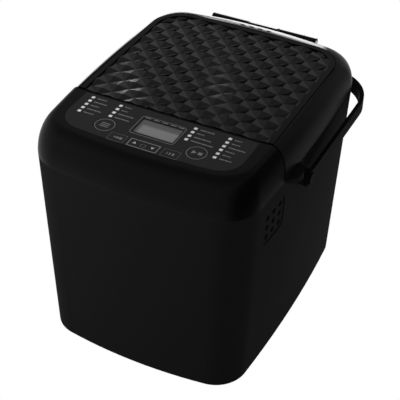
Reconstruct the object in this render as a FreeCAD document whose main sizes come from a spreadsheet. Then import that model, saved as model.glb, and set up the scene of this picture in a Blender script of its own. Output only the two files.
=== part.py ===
# Bread machine: moulded housing with control head, diamond-relief lid, carry handle,
# oven chamber, lift-out bread pan, kneading drive and control keys.
# Millimetres. X runs across the front, -Y is the front, +Z is up, the floor is Z = 0.
import FreeCAD
import Part
import Sketcher
import math
import os
import re

Vector = FreeCAD.Vector
doc = FreeCAD.newDocument("bread_machine")
sheet = doc.addObject("Spreadsheet::Sheet", "Sizes")

SIZES = [
    # moulded housing
    ("body_width", 240.0), ("body_depth", 307.4), ("corner_radius", 38.2),
    ("side_bow", 3.9), ("end_bow", 5.5), ("side_taper", 7.15), ("end_taper", 6.15),
    ("base_radius", 35.0), ("base_shift", -2.0), ("base_level", 4.0),
    ("seam_level", 221.3), ("head_rise", 36.1), ("shell_wall", 2.8),
    ("floor_ledge", 10.0), ("floor_ledge_rise", 4.0), ("deck_ledge", 6.0),
    ("deck_ledge_rise", 6.0), ("deck_drop", 4.0), ("fit_gap", 0.4),
    # shoulders of the lid and the control head
    ("side_inset", 14.5), ("front_inset", 20.0), ("rear_inset", 31.0), ("top_radius", 32.0),
    ("head_wall", 2.6), ("lid_top_wall", 6.0), ("head_depth", 89.8), ("seam_gap", 2.4),
    ("lid_gap", 1.0), ("liner_rise", 2.0), ("liner_thickness", 1.2),
    ("lid_post_offset", 85.0), ("lid_post_lead", 18.0), ("lid_post_tail", 16.2),
    # diamond panel on the lid
    ("panel_margin", 16.5), ("panel_rear_margin", 2.5), ("panel_radius", 34.0),
    ("panel_depth", 3.5), ("panel_groove", 1.0), ("rim_width", 10.0), ("rim_rear", 9.7),
    ("field_radius", 28.0), ("diamond_half", 12.0), ("diamond_relief", 2.4),
    ("diamond_datum", 55.2), ("steam_slot_length", 5.2), ("steam_slot_width", 2.4),
    ("steam_slot_pitch", 10.0), ("steam_slot_setback", 6.2),
    # side vents
    ("vent_setback", 16.6), ("vent_drop", 35.3), ("vent_length", 43.0), ("vent_rise", 40.0),
    ("vent_radius", 8.5), ("vent_recess", 0.8), ("vent_hole", 6.4), ("vent_pitch_y", 12.7),
    ("vent_pitch_z", 11.3),
    # carry handle and its pivots
    ("pivot_setback", 41.9), ("pivot_drop", 20.8), ("pivot_radius", 4.0),
    ("pivot_clearance", 0.05), ("arm_clearance", 4.8), ("arm_thickness", 4.0),
    ("arm_height", 14.0), ("hub_radius", 9.0), ("grip_clearance", 7.3), ("bar_thickness", 7.0),
    ("bend_radius", 48.5), ("bend_swell", 5.5), ("boss_radius", 8.5), ("boss_gap", 0.3),
    ("pin_cap_radius", 6.5), ("pin_cap_height", 1.5), ("ear_radius", 18.5), ("ear_setback", 23.0),
    ("ear_drop", 12.0),
    # lid hinge
    ("hinge_setback", 5.7), ("hinge_drop", 12.9), ("hinge_radius", 5.0),
    ("hinge_pin_radius", 2.5), ("hinge_clearance", 0.05), ("centre_knuckle", 33.0),
    ("knuckle_length", 29.0), ("end_knuckle", 13.5), ("knuckle_gap", 0.6),
    ("hood_front_rise", 7.5), ("hood_rear_rise", 3.0), ("knuckle_lead", 1.5),
    ("hinge_block_reach", 12.5), ("hinge_notch_reach", 8.5),
    # control panel
    ("overlay_margin", 27.8), ("overlay_lead", 7.4), ("overlay_seam_gap", 2.9),
    ("overlay_radius", 24.0), ("overlay_bow", 2.7), ("overlay_thickness", 0.8),
    ("round_key_radius", 10.6), ("round_key_offset", 48.05), ("round_key_lead", 19.2),
    ("small_key_width", 17.6), ("small_key_offset", 27.8), ("arrow_key_width", 15.4),
    ("arrow_key_gap", 0.4), ("key_depth", 12.6), ("key_lead", 6.7),
    ("key_gap", 0.25), ("key_cap", 3.0), ("key_flange", 1.2), ("key_flange_lip", 1.0),
    ("key_travel", 0.5), ("window_width", 42.6), ("window_depth", 23.4),
    ("window_lead", 34.3), ("window_border", 1.7), ("window_end_border", 3.1),
    ("board_drop", 9.0), ("board_thickness", 1.6), ("board_margin", 6.2), ("board_depth", 57.0),
    ("board_lead", 27.8),
    # oven chamber and deck
    ("chamber_width", 172.0), ("chamber_depth", 160.0), ("chamber_position", 35.0),
    ("chamber_radius", 22.0), ("chamber_floor", 46.0), ("chamber_wall", 1.0),
    ("chamber_flange", 7.0), ("deck_thickness", 3.0), ("probe_reach", 13.0), ("probe_radius", 3.0),
    # base, chassis and drive
    ("plate_thickness", 3.0), ("screw_radius", 1.5), ("peg_radius", 3.0), ("foot_radius", 9.0),
    ("foot_margin", 32.85), ("foot_lead", 43.55), ("foot_tail", 49.55),
    ("chassis_level", 26.0), ("chassis_thickness", 1.5), ("chassis_margin", 32.85),
    ("chassis_lead", 15.55), ("chassis_tail", 47.55),
    ("motor_lead", 34.0), ("motor_shaft_radius", 3.0), ("drive_shaft_radius", 5.0),
    ("running_gap", 0.05), ("pulley_radius", 45.0), ("motor_pulley_radius", 9.0),
    ("pulley_bottom", 12.0), ("pulley_width", 9.0), ("belt_gap", 0.3), ("belt_thickness", 1.8),
    # bread pan and kneading gear
    ("pan_side_gap", 16.0), ("pan_end_gap", 15.0), ("pan_draft", 6.0), ("pan_radius", 18.0),
    ("pan_lift", 14.0), ("pan_height", 120.0), ("pan_wall", 1.5), ("pan_lip", 5.0),
    ("pan_shaft_radius", 4.0), ("collar_radius", 40.0), ("collar_wall", 4.0),
    ("bail_radius", 2.2), ("bail_arm", 40.0), ("bail_clearance", 9.0), ("bail_drop", 9.0),
    ("heater_rise", 20.0), ("heater_radius", 3.3), ("heater_side_gap", 9.0),
    ("heater_end_gap", 10.0), ("heater_bend", 18.0), ("heater_lead", 12.0),
]
DERIVED = [
    ("base_width", "body_width - 2 * side_taper"),
    ("base_depth", "body_depth - 2 * end_taper"),
    ("top_level", "seam_level + head_rise"),
    ("panel_width", "body_width - 2 * panel_margin"),
    ("panel_rear", "body_depth / 2 - rear_inset - panel_rear_margin"),
    ("field_width", "panel_width - 2 * rim_width"),
    ("field_rear", "panel_rear - rim_rear"),
    ("seam_position", "head_depth - body_depth / 2"),
    ("vent_position", "seam_position - vent_setback"),
    ("vent_level", "seam_level - vent_drop"),
    ("pivot_position", "seam_position + pivot_setback"),
    ("pivot_level", "seam_level - pivot_drop"),
    ("arm_inner", "body_width / 2 + arm_clearance"),
    ("bar_inner", "body_depth / 2 + grip_clearance"),
    ("ear_reach", "arm_inner + arm_thickness - boss_gap"),
    ("ear_position", "pivot_position - ear_setback"),
    ("hinge_position", "body_depth / 2 - hinge_setback"),
    ("hinge_level", "top_level - hinge_drop"),
    ("hinge_block_front", "hinge_position - hinge_block_reach"),
    ("hinge_notch_front", "hinge_position - hinge_notch_reach"),
    ("knuckle_start", "centre_knuckle / 2 + knuckle_lead"),
    ("overlay_width", "body_width - 2 * overlay_margin"),
    ("overlay_front", "front_inset - body_depth / 2 + overlay_lead"),
    ("overlay_back", "seam_position - overlay_seam_gap"),
    ("round_key_position", "overlay_front + round_key_lead"),
    ("key_position", "overlay_front + key_lead"),
    ("window_position", "overlay_front + window_lead"),
    ("board_position", "overlay_front + board_lead"),
    ("arrow_key_offset", "(arrow_key_width + arrow_key_gap) / 2"),
    ("display_width", "window_width + 2 * window_border"),
    ("display_depth", "window_depth + 2 * window_end_border"),
    ("board_width", "overlay_width - 2 * board_margin"),
    ("foot_x", "base_width / 2 - foot_margin"),
    ("foot_front", "foot_lead - base_depth / 2"),
    ("foot_rear", "base_depth / 2 - foot_tail"),
    ("chassis_front", "chassis_lead - base_depth / 2"),
    ("chassis_rear", "base_depth / 2 - chassis_tail"),
    ("motor_position", "chassis_front + motor_lead"),
    ("chassis_width", "base_width - 2 * chassis_margin"),
    ("pan_width", "chamber_width - 2 * pan_side_gap"),
    ("pan_depth", "chamber_depth - 2 * pan_end_gap"),
    ("pan_floor", "chamber_floor + pan_lift"),
    ("pan_rim", "pan_floor + pan_height"),
    ("bail_offset", "pan_width / 2 + bail_clearance"),
    ("bail_pivot_level", "pan_rim - bail_drop"),
    ("heater_level", "chamber_floor + heater_rise"),
    ("heater_half_width", "chamber_width / 2 - heater_side_gap"),
    ("heater_half_depth", "chamber_depth / 2 - heater_end_gap"),
    ("frame_shift", "-(bar_inner + bar_thickness - body_depth / 2) / 2"),
]
ALIASES = set()
for row, (alias, amount) in enumerate(SIZES + DERIVED, start=1):
    sheet.set(f"A{row}", alias)
    sheet.set(f"B{row}", str(amount) if isinstance(amount, float) else "=" + amount)
    sheet.setAlias(f"B{row}", alias)
    ALIASES.add(alias)
doc.recompute()


def size(alias):
    return float(sheet.get(alias))


def bound(text):
    """An expression in which every alias of the sheet is named in full."""
    def full(match):
        word = match.group(0)
        return "Sizes." + word if word in ALIASES else word
    return re.sub(r"[a-z][a-z_]*", full, text)


def block(name, corner, span):
    """A box from its lowest corner and its three lengths, all bound to the sheet."""
    piece = doc.addObject("Part::Box", name)
    for axis, text in zip("xyz", corner):
        piece.setExpression("Placement.Base." + axis, bound(text))
    for side, text in zip(("Length", "Width", "Height"), span):
        piece.setExpression(side, bound(text))
    return piece


def rod(name, radius, length, start, axis="z"):
    """A cylinder that runs from its start along one axis, bound to the sheet."""
    piece = doc.addObject("Part::Cylinder", name)
    turns = {"x": (Vector(0, 1, 0), 90), "y": (Vector(1, 0, 0), -90), "z": (Vector(0, 0, 1), 0)}
    piece.Placement = FreeCAD.Placement(Vector(), FreeCAD.Rotation(*turns[axis]))
    piece.setExpression("Radius", bound(radius))
    piece.setExpression("Height", bound(length))
    for letter, text in zip("xyz", start):
        piece.setExpression("Placement.Base." + letter, bound(text))
    return piece


def join(name, pieces):
    piece = doc.addObject("Part::MultiFuse", name)
    piece.Shapes = pieces
    piece.Refine = False
    return piece


def carve(name, base, tools):
    piece = doc.addObject("Part::Cut", name)
    piece.Base = base
    piece.Tool = tools[0] if len(tools) == 1 else join(name + "_tools", tools)
    piece.Refine = False
    return piece


def group(name, pieces):
    piece = doc.addObject("Part::Compound", name)
    piece.Links = pieces
    return piece


def formed(name, shape):
    """A piece whose form comes from a loft, sweep or prism worked out here."""
    piece = doc.addObject("Part::Feature", name)
    piece.Shape = shape
    return piece


def bowed_wire(half_width, front, rear, radius, side_bow, end_bow, level):
    """A rounded rectangle whose four sides bow outward, as eight tangent arcs."""
    core_x = half_width - side_bow - radius
    core_front = front + end_bow + radius
    core_rear = rear - end_bow - radius
    corners = [Vector(-core_x, core_front, level), Vector(core_x, core_front, level),
               Vector(core_x, core_rear, level), Vector(-core_x, core_rear, level)]
    bows = [end_bow, side_bow, end_bow, side_bow]
    sides = []
    for index in range(4):
        start = corners[index]
        end = corners[(index + 1) % 4]
        chord = end - start
        along = Vector(chord).normalize()
        outward = Vector(along.y, -along.x, 0)
        bow = bows[index]
        arc_radius = ((chord.Length / 2) ** 2 + bow ** 2) / (2 * bow)
        centre = (start + end) * 0.5 - outward * (arc_radius - bow)
        first = (start - centre).normalize()
        last = (end - centre).normalize()
        sides.append((start + first * radius, (start + end) * 0.5 + outward * (bow + radius),
                      end + last * radius, first, last, end))
    edges = []
    for index in range(4):
        begin, middle, finish, first, last, corner = sides[index]
        following = sides[(index + 1) % 4]
        turn = (last + following[3]).normalize()
        edges.append(Part.Arc(begin, middle, finish).toShape())
        edges.append(Part.Arc(finish, corner + turn * radius, following[0]).toShape())
    return Part.Wire(edges)


def body_wire(level, inset):
    """The tapered housing's outline at a level, drawn in by an even inset."""
    share = (level - size("base_level")) / (size("seam_level") - size("base_level"))
    width = size("base_width") + (size("body_width") - size("base_width")) * share
    depth = size("base_depth") + (size("body_depth") - size("base_depth")) * share
    radius = size("base_radius") + (size("corner_radius") - size("base_radius")) * share
    shift = size("base_shift") * (1 - share)
    return bowed_wire(width / 2 - inset, shift - depth / 2 + inset, shift + depth / 2 - inset,
                      radius - inset, size("side_bow"), size("end_bow"), level)


def body_slice(low, high, inset):
    return Part.makeLoft([body_wire(low, inset), body_wire(high, inset)], True, True)


def shoulder_solid(inset, top_wall, start_drop):
    """The domed cap above the seam: outlines drawn in along a quarter ellipse."""
    rise = size("top_level") - size("seam_level") - top_wall
    wires = []
    for degrees in (0, 18, 36, 54, 72, 90):
        angle = math.radians(degrees)
        fade = 1 - math.cos(angle)
        half_width = size("body_width") / 2 - size("side_inset") * fade - inset
        front = -size("body_depth") / 2 + size("front_inset") * fade + inset
        rear = size("body_depth") / 2 - size("rear_inset") * fade - inset
        radius = size("corner_radius") + (size("top_radius") - size("corner_radius")) * fade - inset
        wires.append(bowed_wire(half_width, front, rear, radius, size("side_bow"), size("end_bow"),
                                size("seam_level") + rise * math.sin(angle)))
    cap = Part.makeLoft(wires, True, False)
    if start_drop > 0:
        cap = cap.fuse(body_slice(size("seam_level") - start_drop, size("seam_level"), inset))
    return cap


def prism(wire, rise):
    return Part.Face(wire).extrude(Vector(0, 0, rise))


def soft_wire(x_low, x_high, y_low, y_high, z_low, radius):
    """A level rectangle with four rounded corners."""
    corners = [(x_high - radius, y_high - radius, 0), (x_low + radius, y_high - radius, 90),
               (x_low + radius, y_low + radius, 180), (x_high - radius, y_low + radius, 270)]
    points = []
    for x, y, first in corners:
        for step in (0, 45, 90):
            angle = math.radians(first + step)
            points.append(Vector(x + radius * math.cos(angle), y + radius * math.sin(angle), z_low))
    edges = []
    for corner in range(4):
        a, b, c = points[3 * corner:3 * corner + 3]
        edges.append(Part.Arc(a, b, c).toShape())
        edges.append(Part.makeLine(c, points[(3 * corner + 3) % 12]))
    return Part.Wire(edges)


def soft_box(x_low, x_high, y_low, y_high, z_low, z_high, radius):
    return prism(soft_wire(x_low, x_high, y_low, y_high, z_low, radius), z_high - z_low)


def slab(x_low, x_high, y_low, y_high, z_low, z_high):
    return Part.makeBox(x_high - x_low, y_high - y_low, z_high - z_low, Vector(x_low, y_low, z_low))


def sketched(body, name, role, offset, corners):
    """A closed sketch of straight lines; each corner is held by two bound distances."""
    plane = [item for item in body.Origin.OriginFeatures if item.Role == role][0]
    sketch = body.newObject("Sketcher::SketchObject", name)
    sketch.AttachmentSupport = (plane, [""])
    sketch.MapMode = "FlatFace"
    sketch.setExpression("AttachmentOffset.Base.z", bound(offset))
    numbers = [(measure(a), measure(b)) for a, b in corners]
    count = len(corners)
    for index in range(count):
        a = numbers[index]
        b = numbers[(index + 1) % count]
        sketch.addGeometry(Part.LineSegment(Vector(a[0], a[1], 0), Vector(b[0], b[1], 0)), False)
    for index in range(count):
        sketch.addConstraint(Sketcher.Constraint("Coincident", index, 2, (index + 1) % count, 1))
    for index, (a, b) in enumerate(corners):
        for kind, text, number in zip(("DistanceX", "DistanceY"), (a, b), numbers[index]):
            spot = sketch.addConstraint(Sketcher.Constraint(kind, -1, 1, index, 1, number))
            sketch.setExpression(f"Constraints[{spot}]", bound(text))
    return sketch


def measure(text):
    """The number that an expression of the sheet's aliases has now."""
    sheet.set("D1", "=" + text)
    sheet.recompute()
    return float(sheet.get("D1"))


NODES = {}
BIG = 400.0
seam = size("seam_level")
top = size("top_level")
wall = size("shell_wall")
deck_level = seam - size("deck_drop")
deck_top = deck_level + size("deck_thickness")
plate_top = size("base_level") + size("plate_thickness")
chassis_top = size("chassis_level") + size("chassis_thickness")
oven_y = size("chamber_position")
motor_y = size("motor_position")


def sideways(shape, x_start):
    """Stands a flat form on its side, so that its X, Y and Z run along Y, Z and X."""
    turned = shape.copy()
    turned.Placement = FreeCAD.Placement(
        Vector(x_start, 0, 0),
        FreeCAD.Rotation(Vector(0, 1, 0), Vector(0, 0, 1), Vector(1, 0, 0), "XYZ"))
    return turned


def both_sides(shape):
    return [shape, shape.mirror(Vector(0, 0, 0), Vector(1, 0, 0))]


def bar_x(radius, x_start, x_end, y, z):
    return Part.makeCylinder(radius, x_end - x_start, Vector(x_start, y, z), Vector(1, 0, 0))


def bar_y(radius, x, y_start, y_end, z):
    return Part.makeCylinder(radius, y_end - y_start, Vector(x, y_start, z), Vector(0, 1, 0))


def post(radius, x, y, z_low, z_high):
    return Part.makeCylinder(radius, z_high - z_low, Vector(x, y, z_low), Vector(0, 0, 1))


# Body shell: a tapered tub with bowed sides, a floor ledge and a deck ledge inside,
# nine-hole vents, handle bosses and the two ears that stop the upright handle.
shell = body_slice(size("base_level"), seam, 0)
pivot_y = size("pivot_position")
pivot_z = size("pivot_level")
boss_end = size("arm_inner") - size("boss_gap")
boss = bar_x(size("boss_radius"), boss_end - 40, boss_end, pivot_y, pivot_z)
ear_x = size("ear_reach") - size("ear_radius")
ear_y = size("ear_position")
ear_low = seam - size("ear_drop")
ear = post(size("ear_radius"), ear_x, ear_y, ear_low, seam)
ear_front = ear_y - size("ear_radius")
ear_rear = ear_y + size("ear_radius")
ear_tip = ear_low + size("ear_drop") * 0.75
slope = Part.makePolygon([Vector(0, ear_front, ear_low), Vector(0, ear_rear, ear_low),
                          Vector(0, ear_front, ear_tip), Vector(0, ear_front, ear_low)])
ear = ear.cut(Part.Face(slope).extrude(Vector(BIG, 0, 0)))
for piece in both_sides(boss) + both_sides(ear):
    shell = shell.fuse(piece)
ledge_low = plate_top + size("floor_ledge_rise")
ledge_high = deck_level - size("deck_ledge_rise")
hollow = [(size("base_level") - 1, plate_top, wall),
          (plate_top, ledge_low, wall + size("floor_ledge")),
          (ledge_low, ledge_high, wall),
          (ledge_high, deck_level, wall + size("deck_ledge")),
          (deck_level, seam + 1, wall)]
for low, high, inset in hollow:
    shell = shell.cut(body_slice(low, high, inset))
vent_face = soft_box(-size("vent_length") / 2, size("vent_length") / 2, -size("vent_rise") / 2,
                     size("vent_rise") / 2, 0, size("body_width"), size("vent_radius"))
vent_face = sideways(vent_face, 0)
vent_face.translate(Vector(0, size("vent_position"), size("vent_level")))
vent_skin = vent_face.cut(body_slice(size("base_level"), seam, size("vent_recess")))
for piece in both_sides(vent_skin):
    shell = shell.cut(piece)
for row in (-1, 0, 1):
    for column in (-1, 0, 1):
        hole = bar_x(size("vent_hole") / 2, -BIG / 2, BIG / 2,
                     size("vent_position") + column * size("vent_pitch_y"),
                     size("vent_level") + row * size("vent_pitch_z"))
        shell = shell.cut(hole)
pin_end = size("arm_inner") + size("arm_thickness")
pin_inner = boss_end - 12
for piece in both_sides(bar_x(size("pivot_radius"), pin_inner, BIG / 2, pivot_y, pivot_z)):
    shell = shell.cut(piece)
bushing_level = 32.0
bushing_radius = 7.0
shell = shell.cut(bar_y(bushing_radius, 0, size("body_depth") / 2 - 40, size("body_depth"),
                        bushing_level))
screw_radius = size("screw_radius")
floor_screw_x = size("base_width") / 2 - size("side_bow") - wall - size("floor_ledge") / 2 + 1
floor_screw_y = 60.0
deck_screw_x = size("body_width") / 2 - wall - size("deck_ledge") / 2 - 1
deck_screw_y = 40.0
for x in (-1, 1):
    for y in (-1, 1):
        shell = shell.cut(post(screw_radius, x * floor_screw_x, y * floor_screw_y, 0, ledge_low + 1))
        shell = shell.cut(post(screw_radius, x * deck_screw_x, y * deck_screw_y, ledge_high - 1, seam))
NODES["body_shell"] = formed("body_shell", shell)

# Base plate: closes the tub from below, with chassis posts, foot holes and cooling slots.
plate = prism(body_wire(size("base_level"), wall + size("fit_gap")), size("plate_thickness"))
chassis_x = size("chassis_width") / 2 - 10
chassis_y = (size("chassis_front") + 12, size("chassis_rear") - 12)
post_radius = 7.0
for x in (-chassis_x, chassis_x):
    for y in chassis_y:
        plate = plate.fuse(post(post_radius, x, y, plate_top - 1, size("chassis_level")))
        plate = plate.cut(post(screw_radius, x, y, plate_top + 2, size("chassis_level") + 1))
foot_y = (size("foot_front"), size("foot_rear"))
peg_radius = size("peg_radius")
for x in (-size("foot_x"), size("foot_x")):
    for y in foot_y:
        plate = plate.cut(post(peg_radius, x, y, 0, plate_top + 1))
head_radius = 3.0
head_sink = 1.6
for x in (-1, 1):
    for y in (-1, 1):
        plate = plate.cut(post(screw_radius, x * floor_screw_x, y * floor_screw_y, 0, plate_top + 1))
        plate = plate.cut(post(head_radius, x * floor_screw_x, y * floor_screw_y,
                               size("base_level") - 1, size("base_level") + head_sink))
slot_pitch = 9.0
for step in range(-3, 4):
    y = motor_y + step * slot_pitch
    for piece in both_sides(soft_box(28, 58, y - 2, y + 2, 0, plate_top + 1, 1.9)):
        plate = plate.cut(piece)
NODES["base_plate"] = formed("base_plate", plate)

# Rubber feet, each a round pad with a peg pressed up through the base plate.
feet = []
for x in ("-foot_x", "foot_x"):
    for y in ("foot_front", "foot_rear"):
        pad = rod("foot_pad", "foot_radius", "base_level", (x, y, "0"))
        peg = rod("foot_peg", "peg_radius", "plate_thickness + 2", (x, y, "base_level"))
        feet.append(join("rubber_foot", [pad, peg]))
NODES["rubber_feet"] = group("rubber_feet", feet)


def screws(name, spots, seat, length, flip, rise):
    """Flat-head screws seated at one level; flip turns the heads to the underside."""
    pieces = []
    for x, y in spots:
        direction = Vector(0, 0, 1 if flip else -1)
        shank = Part.makeCylinder(screw_radius, length, Vector(x, y, seat), direction)
        cap = Part.makeCylinder(head_radius, rise, Vector(x, y, seat), direction * -1)
        pieces.append(shank.fuse(cap))
    return formed(name, Part.makeCompound(pieces))


def four(x, front, rear):
    return [(side * x, y) for side in (-1, 1) for y in (front, rear)]


floor_seat = size("base_level") + head_sink
NODES["base_screws"] = screws("base_screws", four(floor_screw_x, -floor_screw_y, floor_screw_y),
                              floor_seat, ledge_low - floor_seat, True, head_sink)
NODES["deck_screws"] = screws("deck_screws", four(deck_screw_x, -deck_screw_y, deck_screw_y), deck_top,
                              size("deck_thickness") + size("deck_ledge_rise") - 1, False, 0.8)
NODES["chassis_screws"] = screws("chassis_screws", four(chassis_x, *chassis_y), chassis_top,
                                 size("chassis_thickness") + 12, False, head_sink)

# Chassis plate: carries the motor, the drive bearing and the power board.
tray = block("chassis_sheet", ("-chassis_width/2", "chassis_front", "chassis_level"),
             ("chassis_width", "chassis_rear - chassis_front", "chassis_thickness"))
tray_holes = [rod("motor_opening", "motor_shaft_radius + 5", "chassis_thickness + 2",
                  ("0", "motor_position", "chassis_level - 1")),
              rod("drive_opening", "drive_shaft_radius + 2", "chassis_thickness + 2",
                  ("0", "chamber_position", "chassis_level - 1"))]
for x in ("-chassis_width/2 + 10", "chassis_width/2 - 10"):
    for y in ("chassis_front + 12", "chassis_rear - 12"):
        tray_holes.append(rod("chassis_screw_hole", "screw_radius", "chassis_thickness + 2",
                              (x, y, "chassis_level - 1")))
NODES["chassis_plate"] = carve("chassis_plate", tray, tray_holes)

# Drive bearing: a flanged housing between the chassis plate and the chamber floor.
bearing_body = join("bearing_form", [
    rod("bearing_flange", "22", "3", ("0", "chamber_position", "chassis_level + chassis_thickness")),
    rod("bearing_barrel", "13", "chamber_floor - chamber_wall - chassis_level - chassis_thickness",
        ("0", "chamber_position", "chassis_level + chassis_thickness"))])
bearing_bore = rod("bearing_bore", "drive_shaft_radius + running_gap", "60",
                   ("0", "chamber_position", "chassis_level"))
NODES["drive_bearing"] = carve("drive_bearing", bearing_body, [bearing_bore])

# Drive shaft and the driver with two dogs inside the chamber.
NODES["drive_shaft"] = rod("drive_shaft", "drive_shaft_radius", "chamber_floor + 3 - pulley_bottom + 0.5",
                           ("0", "chamber_position", "pulley_bottom - 0.5"))
driver_disc = rod("driver_disc", "16", "3.4", ("0", "chamber_position", "chamber_floor + 0.6"))
driver_dogs = [rod("driver_dog", "3", "6.4", (x, "chamber_position" + y, "chamber_floor + 3.6"))
               for x, y in (("7.5", " + 7"), ("-7.5", " - 7"))]
driver_form = join("driver_form", [driver_disc] + driver_dogs)
driver_bore = rod("driver_bore", "drive_shaft_radius", "2.4",
                  ("0", "chamber_position", "chamber_floor + 0.6"))
NODES["drive_dog"] = carve("drive_dog", driver_form, [driver_bore])


def pulley(name, centre, bore, groove, holes):
    """A flanged flat-belt pulley turned about its shaft, lightened by a ring of holes."""
    body = doc.addObject("PartDesign::Body", name)
    rim = groove + " + 2"
    low = "pulley_bottom"
    high = "pulley_bottom + pulley_width"
    profile = [(bore, low), (rim, low), (rim, low + " + 1"), (groove, low + " + 1"),
               (groove, high + " - 1"), (rim, high + " - 1"), (rim, high), (bore, high)]
    if holes:
        web = groove + " - 5"
        hub = bore + " + 6"
        step = low + " + 6"
        profile = profile[:-1] + [(web, high), (web, step), (hub, step), (hub, high), (bore, high)]
    sketch = sketched(body, name + "_profile", "XZ_Plane", "0", profile)
    turn = body.newObject("PartDesign::Revolution", name + "_turn")
    turn.Profile = sketch
    turn.ReferenceAxis = (sketch, ["V_Axis"])
    turn.Angle = 360
    doc.recompute()
    if holes:
        spot = body.newObject("Sketcher::SketchObject", name + "_spot")
        plane = [item for item in body.Origin.OriginFeatures if item.Role == "XY_Plane"][0]
        spot.AttachmentSupport = (plane, [""])
        spot.MapMode = "FlatFace"
        reach = measure("(" + groove + " + " + bore + ") / 2")
        spot.addGeometry(Part.Circle(Vector(reach, 0, 0), Vector(0, 0, 1), 8), False)
        place = spot.addConstraint(Sketcher.Constraint("DistanceX", -1, 1, 0, 3, reach))
        spot.setExpression(f"Constraints[{place}]", bound("(" + groove + " + " + bore + ") / 2"))
        spot.addConstraint(Sketcher.Constraint("PointOnObject", 0, 3, -1))
        spot.addConstraint(Sketcher.Constraint("Radius", 0, 8))
        pocket = body.newObject("PartDesign::Pocket", name + "_hole")
        pocket.Profile = spot
        pocket.Type = "ThroughAll"
        pocket.Midplane = True
        doc.recompute()
        ring = body.newObject("PartDesign::PolarPattern", name + "_ring")
        ring.Originals = [pocket]
        ring.Axis = (spot, ["N_Axis"])
        ring.Angle = 360
        ring.Occurrences = 5
        body.Tip = ring
    body.setExpression("Placement.Base.y", bound(centre))
    return body


NODES["drive_pulley"] = pulley("drive_pulley", "chamber_position", "drive_shaft_radius",
                               "pulley_radius", True)
NODES["motor_pulley"] = pulley("motor_pulley", "motor_position", "motor_shaft_radius",
                               "motor_pulley_radius", False)

# Drive belt: a flat loop on the two outer tangents of the pulleys.
span = oven_y - motor_y


def belt_loop(extra):
    big = size("pulley_radius") + size("belt_gap") + extra
    small = size("motor_pulley_radius") + size("belt_gap") + extra
    lean = math.asin((big - small) / span)
    out_x = math.cos(lean)
    out_y = -math.sin(lean)
    level = size("pulley_bottom") + 1 + size("belt_gap")
    right_big = Vector(big * out_x, oven_y + big * out_y, level)
    right_small = Vector(small * out_x, motor_y + small * out_y, level)
    left_big = Vector(-right_big.x, right_big.y, level)
    left_small = Vector(-right_small.x, right_small.y, level)
    edges = [Part.Arc(right_big, Vector(0, oven_y + big, level), left_big).toShape(),
             Part.makeLine(left_big, left_small),
             Part.Arc(left_small, Vector(0, motor_y - small, level), right_small).toShape(),
             Part.makeLine(right_small, right_big)]
    return Part.Wire(edges)


belt_width = size("pulley_width") - 2 - 2 * size("belt_gap")
belt = prism(belt_loop(size("belt_thickness")), belt_width).cut(prism(belt_loop(0), belt_width))
NODES["drive_belt"] = formed("drive_belt", belt)

# Motor: lamination stack between two end bells, standing on the chassis plate.
motor_base = "chassis_level + chassis_thickness"
bells = [rod("lower_bell", "25", "6", ("0", "motor_position", motor_base)),
         rod("upper_bell", "25", "12", ("0", "motor_position", motor_base + " + 42")),
         rod("bearing_cap", "10", "6", ("0", "motor_position", motor_base + " + 54"))]
stack = block("lamination_stack", ("-35", "motor_position - 31", motor_base + " + 6"), ("70", "62", "36"))
motor_bore = rod("motor_bore", "motor_shaft_radius + running_gap", "56",
                 ("0", "motor_position", motor_base + " - 1"))
NODES["motor_frame"] = carve("motor_frame", join("motor_form", bells + [stack]), [motor_bore])
NODES["motor_shaft"] = rod("motor_shaft", "motor_shaft_radius",
                           "chassis_level + 54 - pulley_bottom + 0.5",
                           ("0", "motor_position", "pulley_bottom - 0.5"))

# Run capacitor and power board beside the motor.
can_x = "chassis_width/2 - 22"
can = rod("capacitor_can", "14", "44", (can_x, "motor_position", motor_base))
tabs = [block("capacitor_tab", (x, "motor_position - 3", motor_base + " + 44"), ("1", "6", "8"))
        for x in (can_x + " - 5", can_x + " + 4")]
NODES["motor_capacitor"] = join("motor_capacitor", [can] + tabs)
board_base = motor_base + " + 6"
edge_x = "-chassis_width/2"
board_face = board_base + " + 1.6"
board_parts = [block("power_sheet", (edge_x + " + 2", "chassis_front + 24", board_base),
                     ("36", "62", "1.6")),
               block("transformer", (edge_x + " + 6", "chassis_front + 30", board_face),
                     ("22", "24", "22")),
               block("relay", (edge_x + " + 10", "chassis_front + 60", board_face),
                     ("12", "18", "14")),
               rod("filter_can", "5", "18", (edge_x + " + 30", "chassis_front + 66", board_face))]
for x in (edge_x + " + 5", edge_x + " + 35"):
    for y in ("chassis_front + 27", "chassis_front + 83"):
        board_parts.append(rod("standoff", "2.5", "6", (x, y, motor_base)))
NODES["power_board"] = join("power_board", board_parts)

# Cord bushing in the rear wall.
rear_wall = size("base_shift") + size("base_depth") / 2
rear_lean = (size("body_depth") / 2 - rear_wall) / (seam - size("base_level"))
bushing_seat = rear_wall + rear_lean * (bushing_level + 10 - size("base_level"))
bushing = bar_y(bushing_radius, 0, bushing_seat - 7, bushing_seat + 2, bushing_level)
bushing = bushing.fuse(bar_y(10, 0, bushing_seat, bushing_seat + 2.4, bushing_level))
bushing = bushing.cut(bar_y(4, 0, bushing_seat - 20, bushing_seat + 20, bushing_level))
NODES["cord_bushing"] = formed("cord_bushing", bushing)

# Oven chamber: a drawn steel box that hangs by its flange from the deck.
half_w = size("chamber_width") / 2
half_d = size("chamber_depth") / 2
skin = size("chamber_wall")
floor_z = size("chamber_floor")
flange = size("chamber_flange")
corner = size("chamber_radius")


def oven_box(grow, low, high):
    return soft_box(-half_w - grow, half_w + grow, oven_y - half_d - grow, oven_y + half_d + grow,
                    low, high, corner + grow)


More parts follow.
